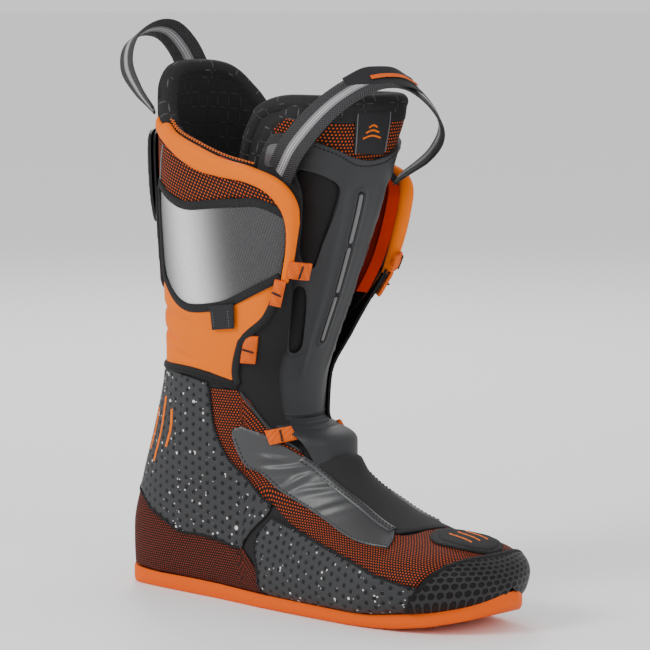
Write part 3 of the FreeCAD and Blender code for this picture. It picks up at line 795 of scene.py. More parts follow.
def reflective():
    """Silver cloth with fine dots and a painted reflection: its base colour is brightest on the middle of the
    side panel and painted dark towards the panel's sides.
    """
    p = Paint("Reflective cloth", (0.62, 0.62, 0.63), 0.42, metal=0.7)
    x, y = p.staggered(1.7, 1.5)
    dot = p.math("MULTIPLY", p.blob(x, y, 0.30, 0.34, 0.5), p.noise(420, 3.0))
    _, across = p.uv(1.0, 1.0)
    # painted reflection: a bright band of base colour round the panel's middle, fading to painted shade at
    # its sides
    middle = p.math("DIVIDE", p.math("SUBTRACT", p.math("ABSOLUTE", across), 79.0), 21.0)
    painted_reflection = p.math("EXPONENT", p.math("MULTIPLY", p.math("POWER", p.math("ABSOLUTE", middle), 2.0), -1.0))
    ground = p.mix(painted_reflection, (0.05, 0.05, 0.052), (0.80, 0.80, 0.81))
    p.base(p.mix(p.math("MULTIPLY", dot, 0.55), ground, (0.16, 0.16, 0.165)))
    p.bump(p.math("ADD", p.math("MULTIPLY", dot, -1.0), p.math("MULTIPLY", p.noise(900), 0.5)), 0.25)
    return p.mat


ORANGE = (0.78, 0.15, 0.0)
MAT = {
    "sole_rubber": plain("Sole rubber", (0.74, 0.10, 0.0), 0.6, 500, 0.08, specular=0.12),
    "board": plain("Board", (0.2, 0.19, 0.17), 0.8),
    "footbed_foam": plain("Footbed cloth", (0.03, 0.03, 0.033), 0.9, 900, 0.3, specular=0.15),
    "black_foam": plain("Black foam", (0.014, 0.014, 0.015), 0.8, 500, 0.2),
    "speckled_foam": speckled("Speckled foam"),
    "orange_mesh": dotted("Orange and black mesh", (0.012, 0.007, 0.006), (0.60, 0.085, 0.01), 2.5, 1.9,
                          0.25, 0.27),
    "fine_mesh": dotted("Fine orange mesh", (0.013, 0.007, 0.006), (0.50, 0.065, 0.010), 1.9, 1.55, 0.26,
                        0.28),
    "red_mesh": dotted("Dark red mesh", (0.015, 0.006, 0.005), (0.27, 0.035, 0.012), 1.9, 1.5, 0.29, 0.26),
    "grey_leather": plain("Grey leather", (0.034, 0.035, 0.037), 0.40, 350, 0.10, specular=0.5),
    "stretch_cloth": plain("Stretch cloth", (0.018, 0.018, 0.019), 0.85, 1400, 0.25),
    "felt": plain("Felt", (0.03, 0.03, 0.032), 0.95, 900, 0.5, specular=0.15),
    "hex_mesh": dotted("Hexagon mesh", (0.026, 0.026, 0.027), (0.002, 0.002, 0.002), 4.4, 3.8, 0.36, 0.36,
                       rough=0.5, depth=-1.5),
    "binding": webbing("Binding tape", (0.010, 0.010, 0.011), (0.022, 0.022, 0.024)),
    "orange_webbing": webbing("Orange webbing", (0.70, 0.09, 0.002), (0.85, 0.18, 0.01)),
    "orange_foam": plain("Orange foam", ORANGE, 0.65, 300, 0.12, specular=0.1),
    "red_lining": plain("Red lining", (0.42, 0.020, 0.002), 0.75, 500, 0.15, specular=0.1),
    "neoprene": plain("Neoprene", (0.011, 0.011, 0.012), 0.8, 900, 0.15),
    "lining": dashes("Brushed lining", (0.017, 0.017, 0.018), (0.13, 0.13, 0.135)),
    "inner_lining": dashes("Inner lining", (0.015, 0.015, 0.016), (0.05, 0.05, 0.052)),
    "reflective_cloth": reflective(),
    "plate_plastic": plain("Plate plastic", (0.016, 0.016, 0.018), 0.42, 200, 0.05),
    "shell_plastic": plain("Tongue plastic", (0.028, 0.029, 0.031), 0.50, 700, 0.04),
    "slot_grey": plain("Slot grey", (0.13, 0.13, 0.135), 0.45, 300, 0.03),
    "tag_cloth": plain("Tag cloth", (0.015, 0.015, 0.017), 0.7, 1200, 0.15),
    "black_webbing": webbing("Black webbing", (0.008, 0.008, 0.009), (0.11, 0.11, 0.115), stripe=True),
    "thread": plain("Black thread", (0.014, 0.014, 0.015), 0.7),
    "orange_thread": plain("Orange thread", ORANGE, 0.6),
    "pale_thread": plain("Pale thread", (0.4, 0.4, 0.4), 0.6),
    "gloss": plain("Gloss window", (0.10, 0.10, 0.105), 0.18, 100, 0.02, coat=0.4),
    "window": plain("Window cloth", (0.004, 0.004, 0.004), 0.6, 400, 0.05),
}


# ---------------------------------------------------------------- the pieces
def place(obj, body, slot, *nodes, bend=None, pad=None):
    """Attaches the piece to its body so it rides with it, or for a bending piece only bakes its transform in
    place, and hides the CAD parts it stands for; slot is not used.
    """
    if bend == "flex":
        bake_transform(obj)
    elif bend == "crease":
        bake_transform(obj)
    else:
        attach(obj, body)
    if nodes:
        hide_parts(*nodes)


def both_sides(name, make, body, slot, node=None):
    """Makes a lateral piece and its medial mirror image."""
    for side, turn in (("lateral", lambda runs: runs), ("medial", mirror)):
        obj = make(f"{name}_{side}", turn)
        place(obj, body, slot, *([f"{node}_{side}"] if node else []))


def panels(name, runs, level, thickness, material, body, slot, node, **more):
    """A sewn panel of the boot and its mirror image."""
    both_sides(name, lambda n, turn: sheet(n, boot, turn(runs), level, thickness, MAT[material], **more),
               body, slot, node)


def stitches(name, paths, height, **more):
    """Black stitches on both sides of the foot."""
    both_sides(name, lambda n, turn: seam(n, boot, turn(paths), height, MAT["thread"], **more),
               FOOT, "binding")


def around(edge):
    """The lateral half of an edge, carried on round the rear to the medial side."""
    return turned(edge[::-1], -1) + [p for p in edge if p[1] > 0]


FOOT_TOP = [(4.9, 0), (4.9, 40), (4.88, 80), (5.05, 110), (5.2, 117), (5.9, 129.5), (6.72, 138.5), (7.2, 144),
            (7.5, 150), (7.9, 178.5)]
CUFF_TOP = [(0.5, 0), (0.55, 25), (0.85, 40), (1.15, 50), (1.33, 62), (1.38, 80), (1.42, 99), (1.38, 117),
            (1.44, 130), (1.75, 138)]
CUFF_BOTTOM = [(3.15, 0), (3.15, 30), (3.24, 45), (3.55, 57), (3.76, 75), (3.62, 99), (3.42, 112),
               (3.25, 120), (3.02, 128), (2.86, 137)]


def make_foot():
    toe = [(18.6, a) for a in (0, 40, 70, 90, 105, 120, 135, 150, 165, 179)]
    foam = wall("foot_foam", boot, around(FOOT_TOP[:-1] + [(7.9, 179)]), around(toe), FOAM_LEVEL, 8.6,
                MAT["black_foam"], rows=60, cols=121)
    place(foam, FOOT, "black_foam", "foot_foam_lateral", "foot_foam_medial", pad=0.9)
    bed = [(9.75, 24), (11, 27), (13, 28), (15, 24), (16.2, 15)]
    inner = Boot(SECTIONS, (-180, 360))
    inner.point = lambda u, a, shrink=0.0: Boot.point(boot, u, a, 9.0 + shrink)
    runs = [bed, [bed[-1], (16.5, 0), (16.2, -15)], turned(bed[::-1], -1),
            [(9.75, -24), (9.72, 0), (9.75, 24)]]
    obj = sheet("footbed_top", inner, runs, 0.0, 3.0, MAT["footbed_foam"], step=3.0, round_edge=1.0)
    place(obj, FOOT, "footbed_foam", "footbed", pad=0.9)

    ankle = closed([(5.0, 35), (5.0, 65), (5.12, 93)], [(6, 99), (7.04, 106), (8.08, 114), (9.44, 117.5)],
                   [(9.72, 111), (9.92, 102), (10.2, 91), (10.48, 81)],
                   [(9.48, 81), (8.48, 69), (8.0, 60), (7.48, 48), (7.2, 28), (7.05, 0.5)], [(5.0, 0.5)])
    panels("ankle_foam", ankle, -0.1, 1.4, "speckled_foam", FOOT, "speckled_foam", "ankle_panel", step=1.7,
           square=foot_lengths)
    side = closed([(11.04, 110.5), (12.72, 108.5), (14.24, 99), (15.56, 88)], [(15.5, 60), (15.38, 36)],
                  [(14, 38), (12.6, 40), (12.15, 41)], [(11.48, 64), (10.85, 80), (10.3, 96), (9.9, 111)])
    panels("side_foam", side, -0.1, 1.4, "speckled_foam", FOOT, "speckled_foam", "side_panel", step=1.7,
           square=foot_lengths)
    heel_top = [(7.0, 0), (7.15, 28), (7.46, 48), (7.98, 60), (8.46, 69), (9.46, 81), (10.5, 81.5)]
    heel_low = [(12.14, 41), (11.4, 39), (10.7, 39), (10.1, 38.5), (9.7, 37), (9.2, 33), (8.85, 24),
                (8.72, 0)]
    runs = [turned(heel_top[::-1], -1) + heel_top[1:], [(10.5, 81.5), (11.48, 64), (12.14, 41)],
            heel_low + turned(heel_low[::-1], -1)[1:], [(12.14, -41), (11.48, -64), (10.5, -81.5)]]
    place(sheet("heel_mesh", boot, runs, -0.5, 1.2, MAT["red_mesh"], step=2.0, square=foot_lengths),
          FOOT, "orange_mesh", "heel_wrap")
    quarter = closed([(6.1, 100.5), (7.2, 107.5), (8.2, 115), (9.5, 118)],
                     [(11.04, 111.5), (12.72, 109.5), (14.24, 100), (15.5, 89)],
                     [(15.66, 120), (16.1, 150), (16.3, 180)], [(13.0, 180)],
                     [(12.7, 153), (10, 153), (8.4, 150), (7.5, 147), (6.75, 140)],
                     [(5.95, 131), (5.3, 118), (5.22, 96)])
    panels("quarter_cloth", quarter, -0.6, 1.1, "fine_mesh", FOOT, "orange_mesh", "quarter_mesh", step=2.2,
           square=foot_lengths)
    overlay = closed([(6.42, 112.5), (7.56, 116), (8.16, 123), (9.92, 128), (12.12, 127), (13.24, 135)],
                     [(12.95, 145), (12.55, 154)], [(10, 154.5), (8.45, 152), (7.9, 148)],
                     [(7.2, 140), (6.6, 131.5), (6.22, 119)])

    def creases(u, a, lengths, distance):  # each crease: station, angle, length, tilt, height
        lat = np.where(a > 180, 360 - a, a)
        out = np.zeros(len(u))
        for cu, ca, size, tilt, depth in (
                (7.6, 131, 7, 0.5, 0.9), (8.2, 137, 9, 0.3, 0.8), (8.9, 134, 8, -0.2, 0.7),
                (9.6, 143, 8, 0.3, 0.5), (10.6, 136, 10, 0.1, 0.4)):
            x, y = (u - cu) * 11, (lat - ca) * 0.75
            along, across = x * tilt + y, x - y * tilt
            out += depth * np.exp(-(along / size) ** 2) * np.cos(across * 0.9) * np.exp(-(across / 4.2) ** 2)
        return out * ease(0.5, 3.0, distance)

    panels("instep_leather", overlay, 0.9, 1.3, "grey_leather", FOOT, "grey_leather", "instep_overlay",
           step=1.3, bumps=creases)
    line = [(7.95, 146), (8.6, 149.5), (9.6, 151.5), (11.0, 152.3), (12.55, 152.3)]
    both_sides("instep_band", lambda n, t: strip(n, boot, t([line])[0], 5.0, 1.8, 1.2, MAT["grey_leather"]),
               FOOT, "grey_leather", "instep_strip")
    vamp = closed([(8.5, 165), (8.5, 180), (8.5, 195), (8.6, 207)], [(10, 206), (12.85, 207)],
                  [(13.0, 195), (13.0, 180), (12.9, 165), (12.7, 153)], [(10, 154), (8.55, 153)])
    place(sheet("vamp_cloth", boot, vamp, 0.5, 1.6, MAT["stretch_cloth"], step=1.8,
                bumps=lambda u, a, lengths, distance: 2.2 * (1 - ease(8.5, 9.6, u))),
          FOOT, "stretch_cloth", "stretch_vamp")
    for name, size, level, slot in (("patch_ring", 1.0, 1.0, "binding"), ("patch_felt", 0.80, 1.8, "felt")):
        turn = np.radians(np.arange(0, 361, 15))
        oval = np.stack([14.7 + 1.45 * size * np.cos(turn), 184 + 26 * size * np.sin(turn)], axis=1).tolist()
        node = "toe_patch_base" if size == 1.0 else "toe_patch"
        place(sheet(name, boot, [oval], level, 1.2, MAT[slot], step=1.3), FOOT, slot, node)
    marks = [strip("mark", boot, [(14.0, a), (15.3, a - 3)], 1.8, 2.1, 0.8, MAT["orange_foam"], step=0.8)
             for a in (177, 186, 195)]
    place(joined("patch_marks", marks), FOOT, "orange_foam")
    angles = (47, 66, 88, 118, 150, 180, 210, 242, 272, 294, 313)
    rear = (15.45, 15.5, 15.6, 15.75, 16.1, 16.3, 16.1, 15.75, 15.6, 15.5, 15.45)
    cap = wall("toe_mesh", boot, list(zip(rear, angles)), [(18.97, a) for a in angles], 0.9, -0.4,
               MAT["hex_mesh"], rows=36, cols=90, close_tip=True, square=toe_lengths)
    place(cap, FOOT, "hex_mesh", "toe_cap")
    strip_path = [(15.45, 47), (15.5, 66), (15.6, 88), (15.75, 118), (16.1, 150), (16.3, 180), (16.1, 210),
                  (15.75, 242), (15.6, 272), (15.5, 294), (15.45, 313)]
    place(strip("toe_seam_tape", boot, strip_path, 3.4, 1.25, 1.2, MAT["binding"]), FOOT, "binding")

    hem = [(4.9, 0), (4.9, 40), (4.88, 80), (5.05, 110), (5.22, 117.6)]
    place(edge_roll("foot_hem", boot, around(hem), 141, 0.6, 9.4, (-40, 0, 60), 3.4, MAT["binding"]),
          FOOT, "binding", "foot_binding")
    throat = [(5.26, 118.2), (5.95, 131), (6.75, 140), (7.2, 145), (7.6, 149.5)]
    for side_name, turn in SIDES:
        place(edge_roll("throat_hem_" + side_name, boot, turned(throat, turn), 40, 0.1, 3.4, (0, 0, 60), 1.1,
                        MAT["shell_plastic"]), FOOT, "binding")
    inlays = []
    for angle, low, high in ((43, 5.75, 6.55), (53.5, 5.5, 6.8), (64, 5.75, 6.55)):
        path = [(low, angle), ((low + high) / 2, angle + 2), (high, angle)]
        inlays.append(strip("ankle_groove", boot, path, 2.4, 0.35, 0.9, MAT["orange_foam"], step=0.9))
    place(joined("ankle_grooves", inlays), FOOT, "orange_foam", "ankle_inlays")


def make_outsole():
    """Orange sole with a rounded edge that meets the boot all round and turns up at the toe."""
    rim = [(8.74, 3), (8.8, 14), (8.92, 25), (9.22, 34), (9.7, 39), (10.2, 41.5), (10.8, 43), (11.5, 43.5),
           (12.3, 44), (13.2, 44), (14.2, 44), (15.2, 45), (16.0, 47), (16.8, 50), (17.5, 53), (18.2, 56),
           (18.7, 58)]
    line = row(rim, 120)
    sides = []
    for turn in (1, -1):
        u, a = line[:, 0], turn * line[:, 1]
        top = boot.at(u, a, 0.9)
        low_z = np.interp(top[:, 0], [-150, 60, 88, 112, 129, 137, 142], [0, 0, 1.2, 4.4, 8.4, 12.2, 15.0])
        top[:, 2] = np.maximum(top[:, 2], low_z + 5.0)
        middle = (boot.point(u, 0 * a) + boot.point(u, a)) / 2
        inward = middle - top
        inward[:, 2] = 0
        inward /= np.linalg.norm(inward, axis=1, keepdims=True) + 1e-9
        rings = []
        for step_in, share in ((4.0, 1.0), (0.4, 1.06), (-0.35, 0.92), (-0.5, 0.5), (-0.1, 0.15), (0.9, 0.0)):
            p = top + inward * step_in
            p[:, 2] = low_z + (top[:, 2] - low_z) * share
            rings.append(p)
        sides.append(rings)
    loop = sides[0] + sides[1][::-1]
    grid = np.stack(loop, axis=1)
    n, m = grid.shape[:2]
    index = np.arange(n * m).reshape(n, m)
    nxt = np.roll(index, -1, axis=1)
    faces = np.stack([index[:-1], index[1:], nxt[1:], nxt[:-1]], axis=-1).reshape(-1, 4).tolist()
    faces += [index[0].tolist(), index[-1, ::-1].tolist()]
    obj = add_mesh("sole", grid.reshape(-1, 3), faces,
                   np.stack([grid[..., 0], grid[..., 1]], -1).reshape(-1, 2), MAT["sole_rubber"], sharp=50)
    place(obj, FOOT, "sole_rubber", "outsole")


def joined(name, objects):
    """Joins several new meshes into one piece."""
    verts, faces, uvs, mats = [], [], [], []
    start = 0
    for obj in objects:
        mesh = obj.data
        co = np.zeros(len(mesh.vertices) * 3)
        mesh.vertices.foreach_get("co", co)
        verts.append(co.reshape(-1, 3) / MM)
        for poly in mesh.polygons:
            faces.append([start + i for i in poly.vertices])
        layer = mesh.uv_layers.active
        flat = np.zeros((len(mesh.vertices), 2))
        if layer:
            index = np.zeros(len(mesh.loops), dtype=np.int32)
            mesh.loops.foreach_get("vertex_index", index)
            uv = np.zeros(len(mesh.loops) * 2)
            layer.data.foreach_get("uv", uv)
            flat[index] = uv.reshape(-1, 2) / MM
        uvs.append(flat)
        start += len(mesh.vertices)
        mats.append(mesh.materials[0])
        bpy.data.objects.remove(obj)
    return add_mesh(name, np.vstack(verts), faces, np.vstack(uvs), mats[0])


def make_stitching():
    for name, path, height in (
            ("ankle_stitch", [(5.14, 94.5), (6.02, 99.8), (7.06, 106.8), (8.1, 114.8), (9.44, 118.2)], -0.1),
            ("ankle_heel_stitch", [(10.48, 81), (9.48, 81), (8.48, 69), (8.0, 60), (7.48, 48), (7.2, 28),
                                   (7.05, 1)], 0.0),
            ("side_top_stitch", [(9.9, 111), (11.04, 111), (12.72, 109), (14.24, 99.5), (15.5, 88.5)], 0.0),
            ("side_rear_stitch", [(12.15, 41), (11.48, 64.5), (10.85, 80.5), (10.3, 96), (9.9, 111)], 0.0)):
        stitches(name, [path], height, length=2.6, gap=0.95, radius=0.36, zigzag=1.2)
    double = [[(8.05, 144.6), (8.7, 148.2), (9.7, 150.3), (11.0, 151.1), (12.5, 151.1)],
              [(8.0, 147.6), (8.55, 150.9), (9.5, 152.9), (11.0, 153.6), (12.5, 153.6)]]
    stitches("band_stitch", double, 1.9, length=2.0, gap=0.9, radius=0.3)
    edge = [[(6.55, 114.2), (7.56, 117.6), (8.16, 124.6), (9.92, 129.6), (12.12, 128.6), (13.1, 135.5)]]
    stitches("leather_stitch", edge, 1.0, length=1.9, gap=0.9, radius=0.26)


def loops(name, node, spans, body, bend=None, level=3.0):
    """Short webbing lace loops lying across a seam, each with a bar of black stitches."""
    tapes, bars = [], []
    for low, high, width in spans:
        for turn in (1, -1):
            ends = [(low[0], turn * low[1]), ((low[0] + high[0]) / 2, turn * (low[1] + high[1]) / 2),
                    (high[0], turn * high[1])]
            tapes.append(strip("tape", boot, ends, width, level, 2.0, MAT["orange_webbing"], step=1.0,
                               bumps=lambda u, a, lengths, d: 0.6 * np.exp(-((d - 4) / 2.0) ** 2)))
            cross = strip_outline(boot, ends, width * 0.84)
            left, right = np.array(cross[0][len(cross[0]) // 2]), np.array(cross[2][len(cross[2]) // 2])
            bars.append(seam("bar", boot, [[left.tolist(), right.tolist()]], level + 0.75, MAT["thread"],
                             length=1.5, gap=0.7, radius=0.5, zigzag=1.1))
    place(joined(name, tapes), body, "orange_webbing", node, bend=bend)
    place(joined(name + "_bars", bars), body, "binding", bend=bend)


def make_gusset():
    top = [(u + 0.02, a) for u, a in CUFF_BOTTOM[:-1]] + [(2.98, 134)]
    low = [(4.86, 0), (4.86, 30), (4.86, 45), (4.85, 62), (4.85, 78), (4.88, 95), (5.0, 112.5), (4.5, 113.5),
           (4.1, 117.5), (3.68, 127), (3.2, 132.5)]

    def folds(u, a, lengths):  # each fold: station, angle, reach in degrees, depth
        side = np.minimum(np.abs(a), 360 - np.abs(a))
        out = 0.9 * np.sin(np.clip((u - 3.2) / 1.65, 0, 1) * np.pi)
        for cu, ca, wide, depth in ((3.95, 40, 22, 2.6), (4.35, 48, 20, 2.4), (4.0, 70, 14, 1.3),
                                    (4.62, 66, 14, 1.3)):
            across, along = (u - cu - 0.004 * (side - ca)) / 0.06, (side - ca) / wide
            out -= depth * np.exp(-across ** 2) * np.exp(-along ** 2)
        return out

    obj = wall("flex_foam", boot, around(top), around(low), -1.0, -4.5, MAT["orange_foam"], rows=46, cols=161,
               bumps=folds)
    place(obj, FOOT, "orange_foam", "flex_gusset", bend="flex", pad=0.8)
    top, low = ([(u, a * 1.016) for u, a in edge] for edge in (top, low))
    obj = wall("flex_lining", boot, around(top), around(low), -4.6, -5.6, MAT["neoprene"], rows=20, cols=121)
    place(obj, FOOT, "neoprene", bend="flex")
    front = [(2.9, 139.2), (3.8, 142.5), (4.6, 143.5), (5.3, 145), (6.0, 148), (6.9, 153), (7.6, 160)]
    rear = [(2.95, 134), (3.7, 125), (4.1, 115.5), (4.5, 111.5), (5.15, 112), (5.9, 125), (6.9, 139),
            (7.6, 148)]
    path = [(2.95, 134.5), (3.3, 132), (3.68, 128), (4.08, 118), (4.45, 114.5), (5.0, 114.8), (5.12, 116)]
    for side, turn in SIDES:
        obj = wall("throat_cloth_" + side, boot, turned(rear, turn), turned(front, turn), -1.9, -3.4,
                   MAT["neoprene"], rows=16, cols=60)
        place(obj, FOOT, "neoprene", "throat_gusset_" + side, bend="flex")
        obj = strip("throat_tape_" + side, boot, turned(path, turn), 5.0, 0.5, 2.4, MAT["binding"], step=1.1,
                    round_edge=0.9)
        place(obj, FOOT, "binding", bend="flex")


def make_cuff():
    foam = wall("cuff_wall", boot, around(CUFF_TOP), around(CUFF_BOTTOM), FOAM_LEVEL, 9.1,
                MAT["black_foam"], rows=40, cols=161)
    place(foam, CUFF, "black_foam", "cuff_foam", pad=0.9)
    top = CUFF_TOP[:-1] + [(1.75, 134)]
    low = CUFF_BOTTOM[:-1] + [(2.9, 132)]
    place(lining("cuff_inside", boot, around(top), around(low), (9.3, 10.4), 40, 161, MAT["inner_lining"]),
          CUFF, "lining", "cuff_lining")
    for side, turn in SIDES:
        edge_a = [(1.36, 96), (1.38, 117), (1.46, 130), (1.72, 138.8)]
        edge_b = [(3.2, 96), (3.35, 117), (3.35, 128), (3.3, 138.8)]
        flap = lining("flap_inside_" + side, boot, turned(edge_a, turn), turned(edge_b, turn), (5.6, 11.0),
                      40, 40, MAT["red_lining"],
                      swell=lambda t, ang: 0.9 * ease(0, 0.12, t) * ease(138.9, 131, np.abs(ang)))
        place(flap, CUFF, "orange_foam")
    collar = around([(0.5, 0), (0.55, 25), (0.85, 40), (1.15, 50), (1.26, 56)])
    pad = edge_roll("collar_roll", boot, collar, 81, -0.2, 11.2, (-50, 0, 240), 6.0, MAT["lining"],
                    squared=2.1)
    place(pad, CUFF, "lining", "collar_pad", pad=0.7)
    place(strip("collar_back", boot, around([(0.82, 0), (0.86, 25), (1.1, 40)]), 20.0, 0.2, 2.0,
                MAT["lining"], step=2.0), CUFF, "lining")
    rim = [(1.24, 54), (1.33, 62), (1.36, 70), (1.38, 80), (1.42, 99), (1.38, 117), (1.44, 130), (1.75, 137),
           (2.3, 138), (2.95, 137)]
    for side, turn in SIDES:
        reach = np.interp(np.arange(110), [0, 30, 60, 109], [4.5, 4.0, 3.6, 3.4])
        obj = edge_roll("rim_foam_" + side, boot, turned(rim, turn), 110, 1.6, 6.0, (-40, 0, 200), reach,
                        MAT["orange_foam"], squared=2.3)
        place(obj, CUFF, "orange_foam", "collar_rim_" + side, pad=0.8)
        line = row(turned(rim[:6], turn), 60)
        obj = roll("rim_inner_" + side, boot.point(line[:, 0], line[:, 1], 5.6),
                   boot.point(line[:, 0], line[:, 1], 11.0), (-40, 0, 200), 3.6, MAT["lining"])
        place(obj, CUFF, "lining")
        low = [(1.36, 43), (1.5, 60), (1.62, 76), (1.66, 88), (1.62, 102), (1.56, 116), (1.62, 126),
               (1.9, 132.5), (2.35, 134.4), (2.9, 134)]
        high = [(1.18, 47), (1.30, 60), (1.36, 72), (1.38, 84), (1.40, 99), (1.36, 117), (1.42, 130),
                (1.75, 137.2), (2.3, 138.2), (2.92, 137.4)]
        runs = [turned(low, turn), turned(high[::-1], turn)]
        runs = [runs[0], [runs[0][-1], runs[1][0]], runs[1], [runs[1][-1], runs[0][0]]]
        obj = sheet("rim_band_" + side, boot, runs, 1.7, 3.2, MAT["orange_foam"], step=1.3, round_edge=1.3)
        place(obj, CUFF, "orange_foam")
        line = line - [0.105, 0]
        mid = boot.point(line[:, 0], line[:, 1], 5.6)
        tangent = np.gradient(mid, axis=0)
        tangent /= np.linalg.norm(tangent, axis=1, keepdims=True)
        over = boot.point(line[:, 0] - 0.05, line[:, 1], 5.6) - mid
        over /= np.linalg.norm(over, axis=1, keepdims=True)
        stitch = np.arange(130)
        fine = np.linspace(0, 59, len(stitch))
        here, ahead, up, across = (sample(fine, np.arange(60), g)
                                   for g in (mid, tangent, over, np.cross(tangent, over)))
        ahead = ahead + across * np.where(stitch % 2, 1.3, -1.3)[:, None]
        ahead /= np.linalg.norm(ahead, axis=1, keepdims=True)
        for name, keep, mat, slot in (("rim_zigzag_", 0, "orange_thread", "orange_foam"),
                                      ("rim_zigzag_dark_", 1, "thread", "binding")):
            ids = stitch % 4 // 2 == keep
            place(beads(name + side, here[ids] + up[ids] * 0.3, ahead[ids], up[ids], 3.0, 0.5, MAT[mat]),
                  CUFF, slot)
    mesh_runs = closed([(1.35, 30), (1.5, 50), (1.6, 70), (1.6, 99), (1.55, 117), (1.72, 131)],
                       [(1.92, 133)],
                       [(1.84, 113), (2.04, 96), (2.24, 76), (2.28, 55), (2.3, 46), (2.9, 30), (2.9, 2)],
                       [(1.3, 2)])
    panels("cuff_cloth", mesh_runs, -0.6, 1.3, "orange_mesh", CUFF, "orange_mesh", "cuff_mesh", step=2.0)
    panel = closed([(2.24, 62), (2.24, 76), (2.04, 96), (1.86, 113), (1.8, 125), (1.9, 133)],
                   [(2.35, 134), (2.84, 133.5)],
                   [(3.16, 121), (3.38, 112), (3.6, 99), (3.76, 75), (3.55, 57), (3.2, 46)],
                   [(2.7, 44), (2.2, 49)])
    panels("silver_panel", panel, -0.3, 1.5, "reflective_cloth", CUFF, "reflective_cloth", "reflector",
           step=1.7)
    upper = [(2.14, 46), (2.24, 60), (2.26, 76), (2.08, 96), (1.9, 113), (1.8, 123), (1.86, 132.5)]
    lower = [(2.2, 43), (2.75, 42), (3.2, 45), (3.55, 56), (3.76, 75), (3.62, 99), (3.42, 112), (3.18, 122),
             (2.86, 133.5)]
    for name, path, node in (("upper_tape", upper, "upper_cuff_tape"),
                             ("lower_tape", lower, "lower_cuff_tape")):
        pair = [strip("tape", boot, turned(path, turn), 5.0, 0.9, 2.0, MAT["binding"], step=1.2,
                      round_edge=0.8) for turn in (1, -1)]
        place(joined(name, pair), CUFF, "binding", node)
    line = [(1.55, 55), (1.9, 50.5), (2.14, 48)]
    both_sides("rear_piping", lambda n, t: strip(n, boot, t([line])[0], 1.4, 0.2, 1.2, MAT["slot_grey"],
                                                 step=0.8), CUFF, "slot_grey")
    for name, half, low, level, thick, node in (("spine_inner", 36, 3.72, 3.2, 1.8, "spine_plate_inner"),
                                                ("spine_outer", 38, 2.8, 6.2, 2.2, "spine_plate_outer")):
        runs = [[(1.5, -half * 0.8), (1.45, 0), (1.5, half * 0.8)],
                [(1.5, half * 0.8), (1.62, half), (2.2, half), (low - 0.12, half * 0.78)],
                [(low - 0.12, half * 0.78), (low, half * 0.6), (low + 0.04, 0), (low, -half * 0.6),
                 (low - 0.12, -half * 0.78)],
                [(low - 0.12, -half * 0.78), (2.2, -half), (1.62, -half), (1.5, -half * 0.8)]]
        place(sheet(name, boot, runs, level, thick, MAT["plate_plastic"], step=1.8),
              CUFF, "plate_plastic", node)
    tag = closed([(3.48, 112)], [(3.9, 113)], [(4.02, 98)], [(3.62, 96)])
    place(sheet("blank_tag", boot, tag, 2.4, 0.8, MAT["tag_cloth"], step=1.0, round_edge=0.3),
          CUFF, "tag_cloth", "size_tag")
    edges = [[(3.70, 98.3), (3.96, 99.8)], [(3.60, 108.8), (3.88, 110)]]
    place(seam("tag_stitch", boot, edges, 2.3, MAT["pale_thread"], length=1.2, gap=0.6, radius=0.15),
          CUFF, "tag_cloth")


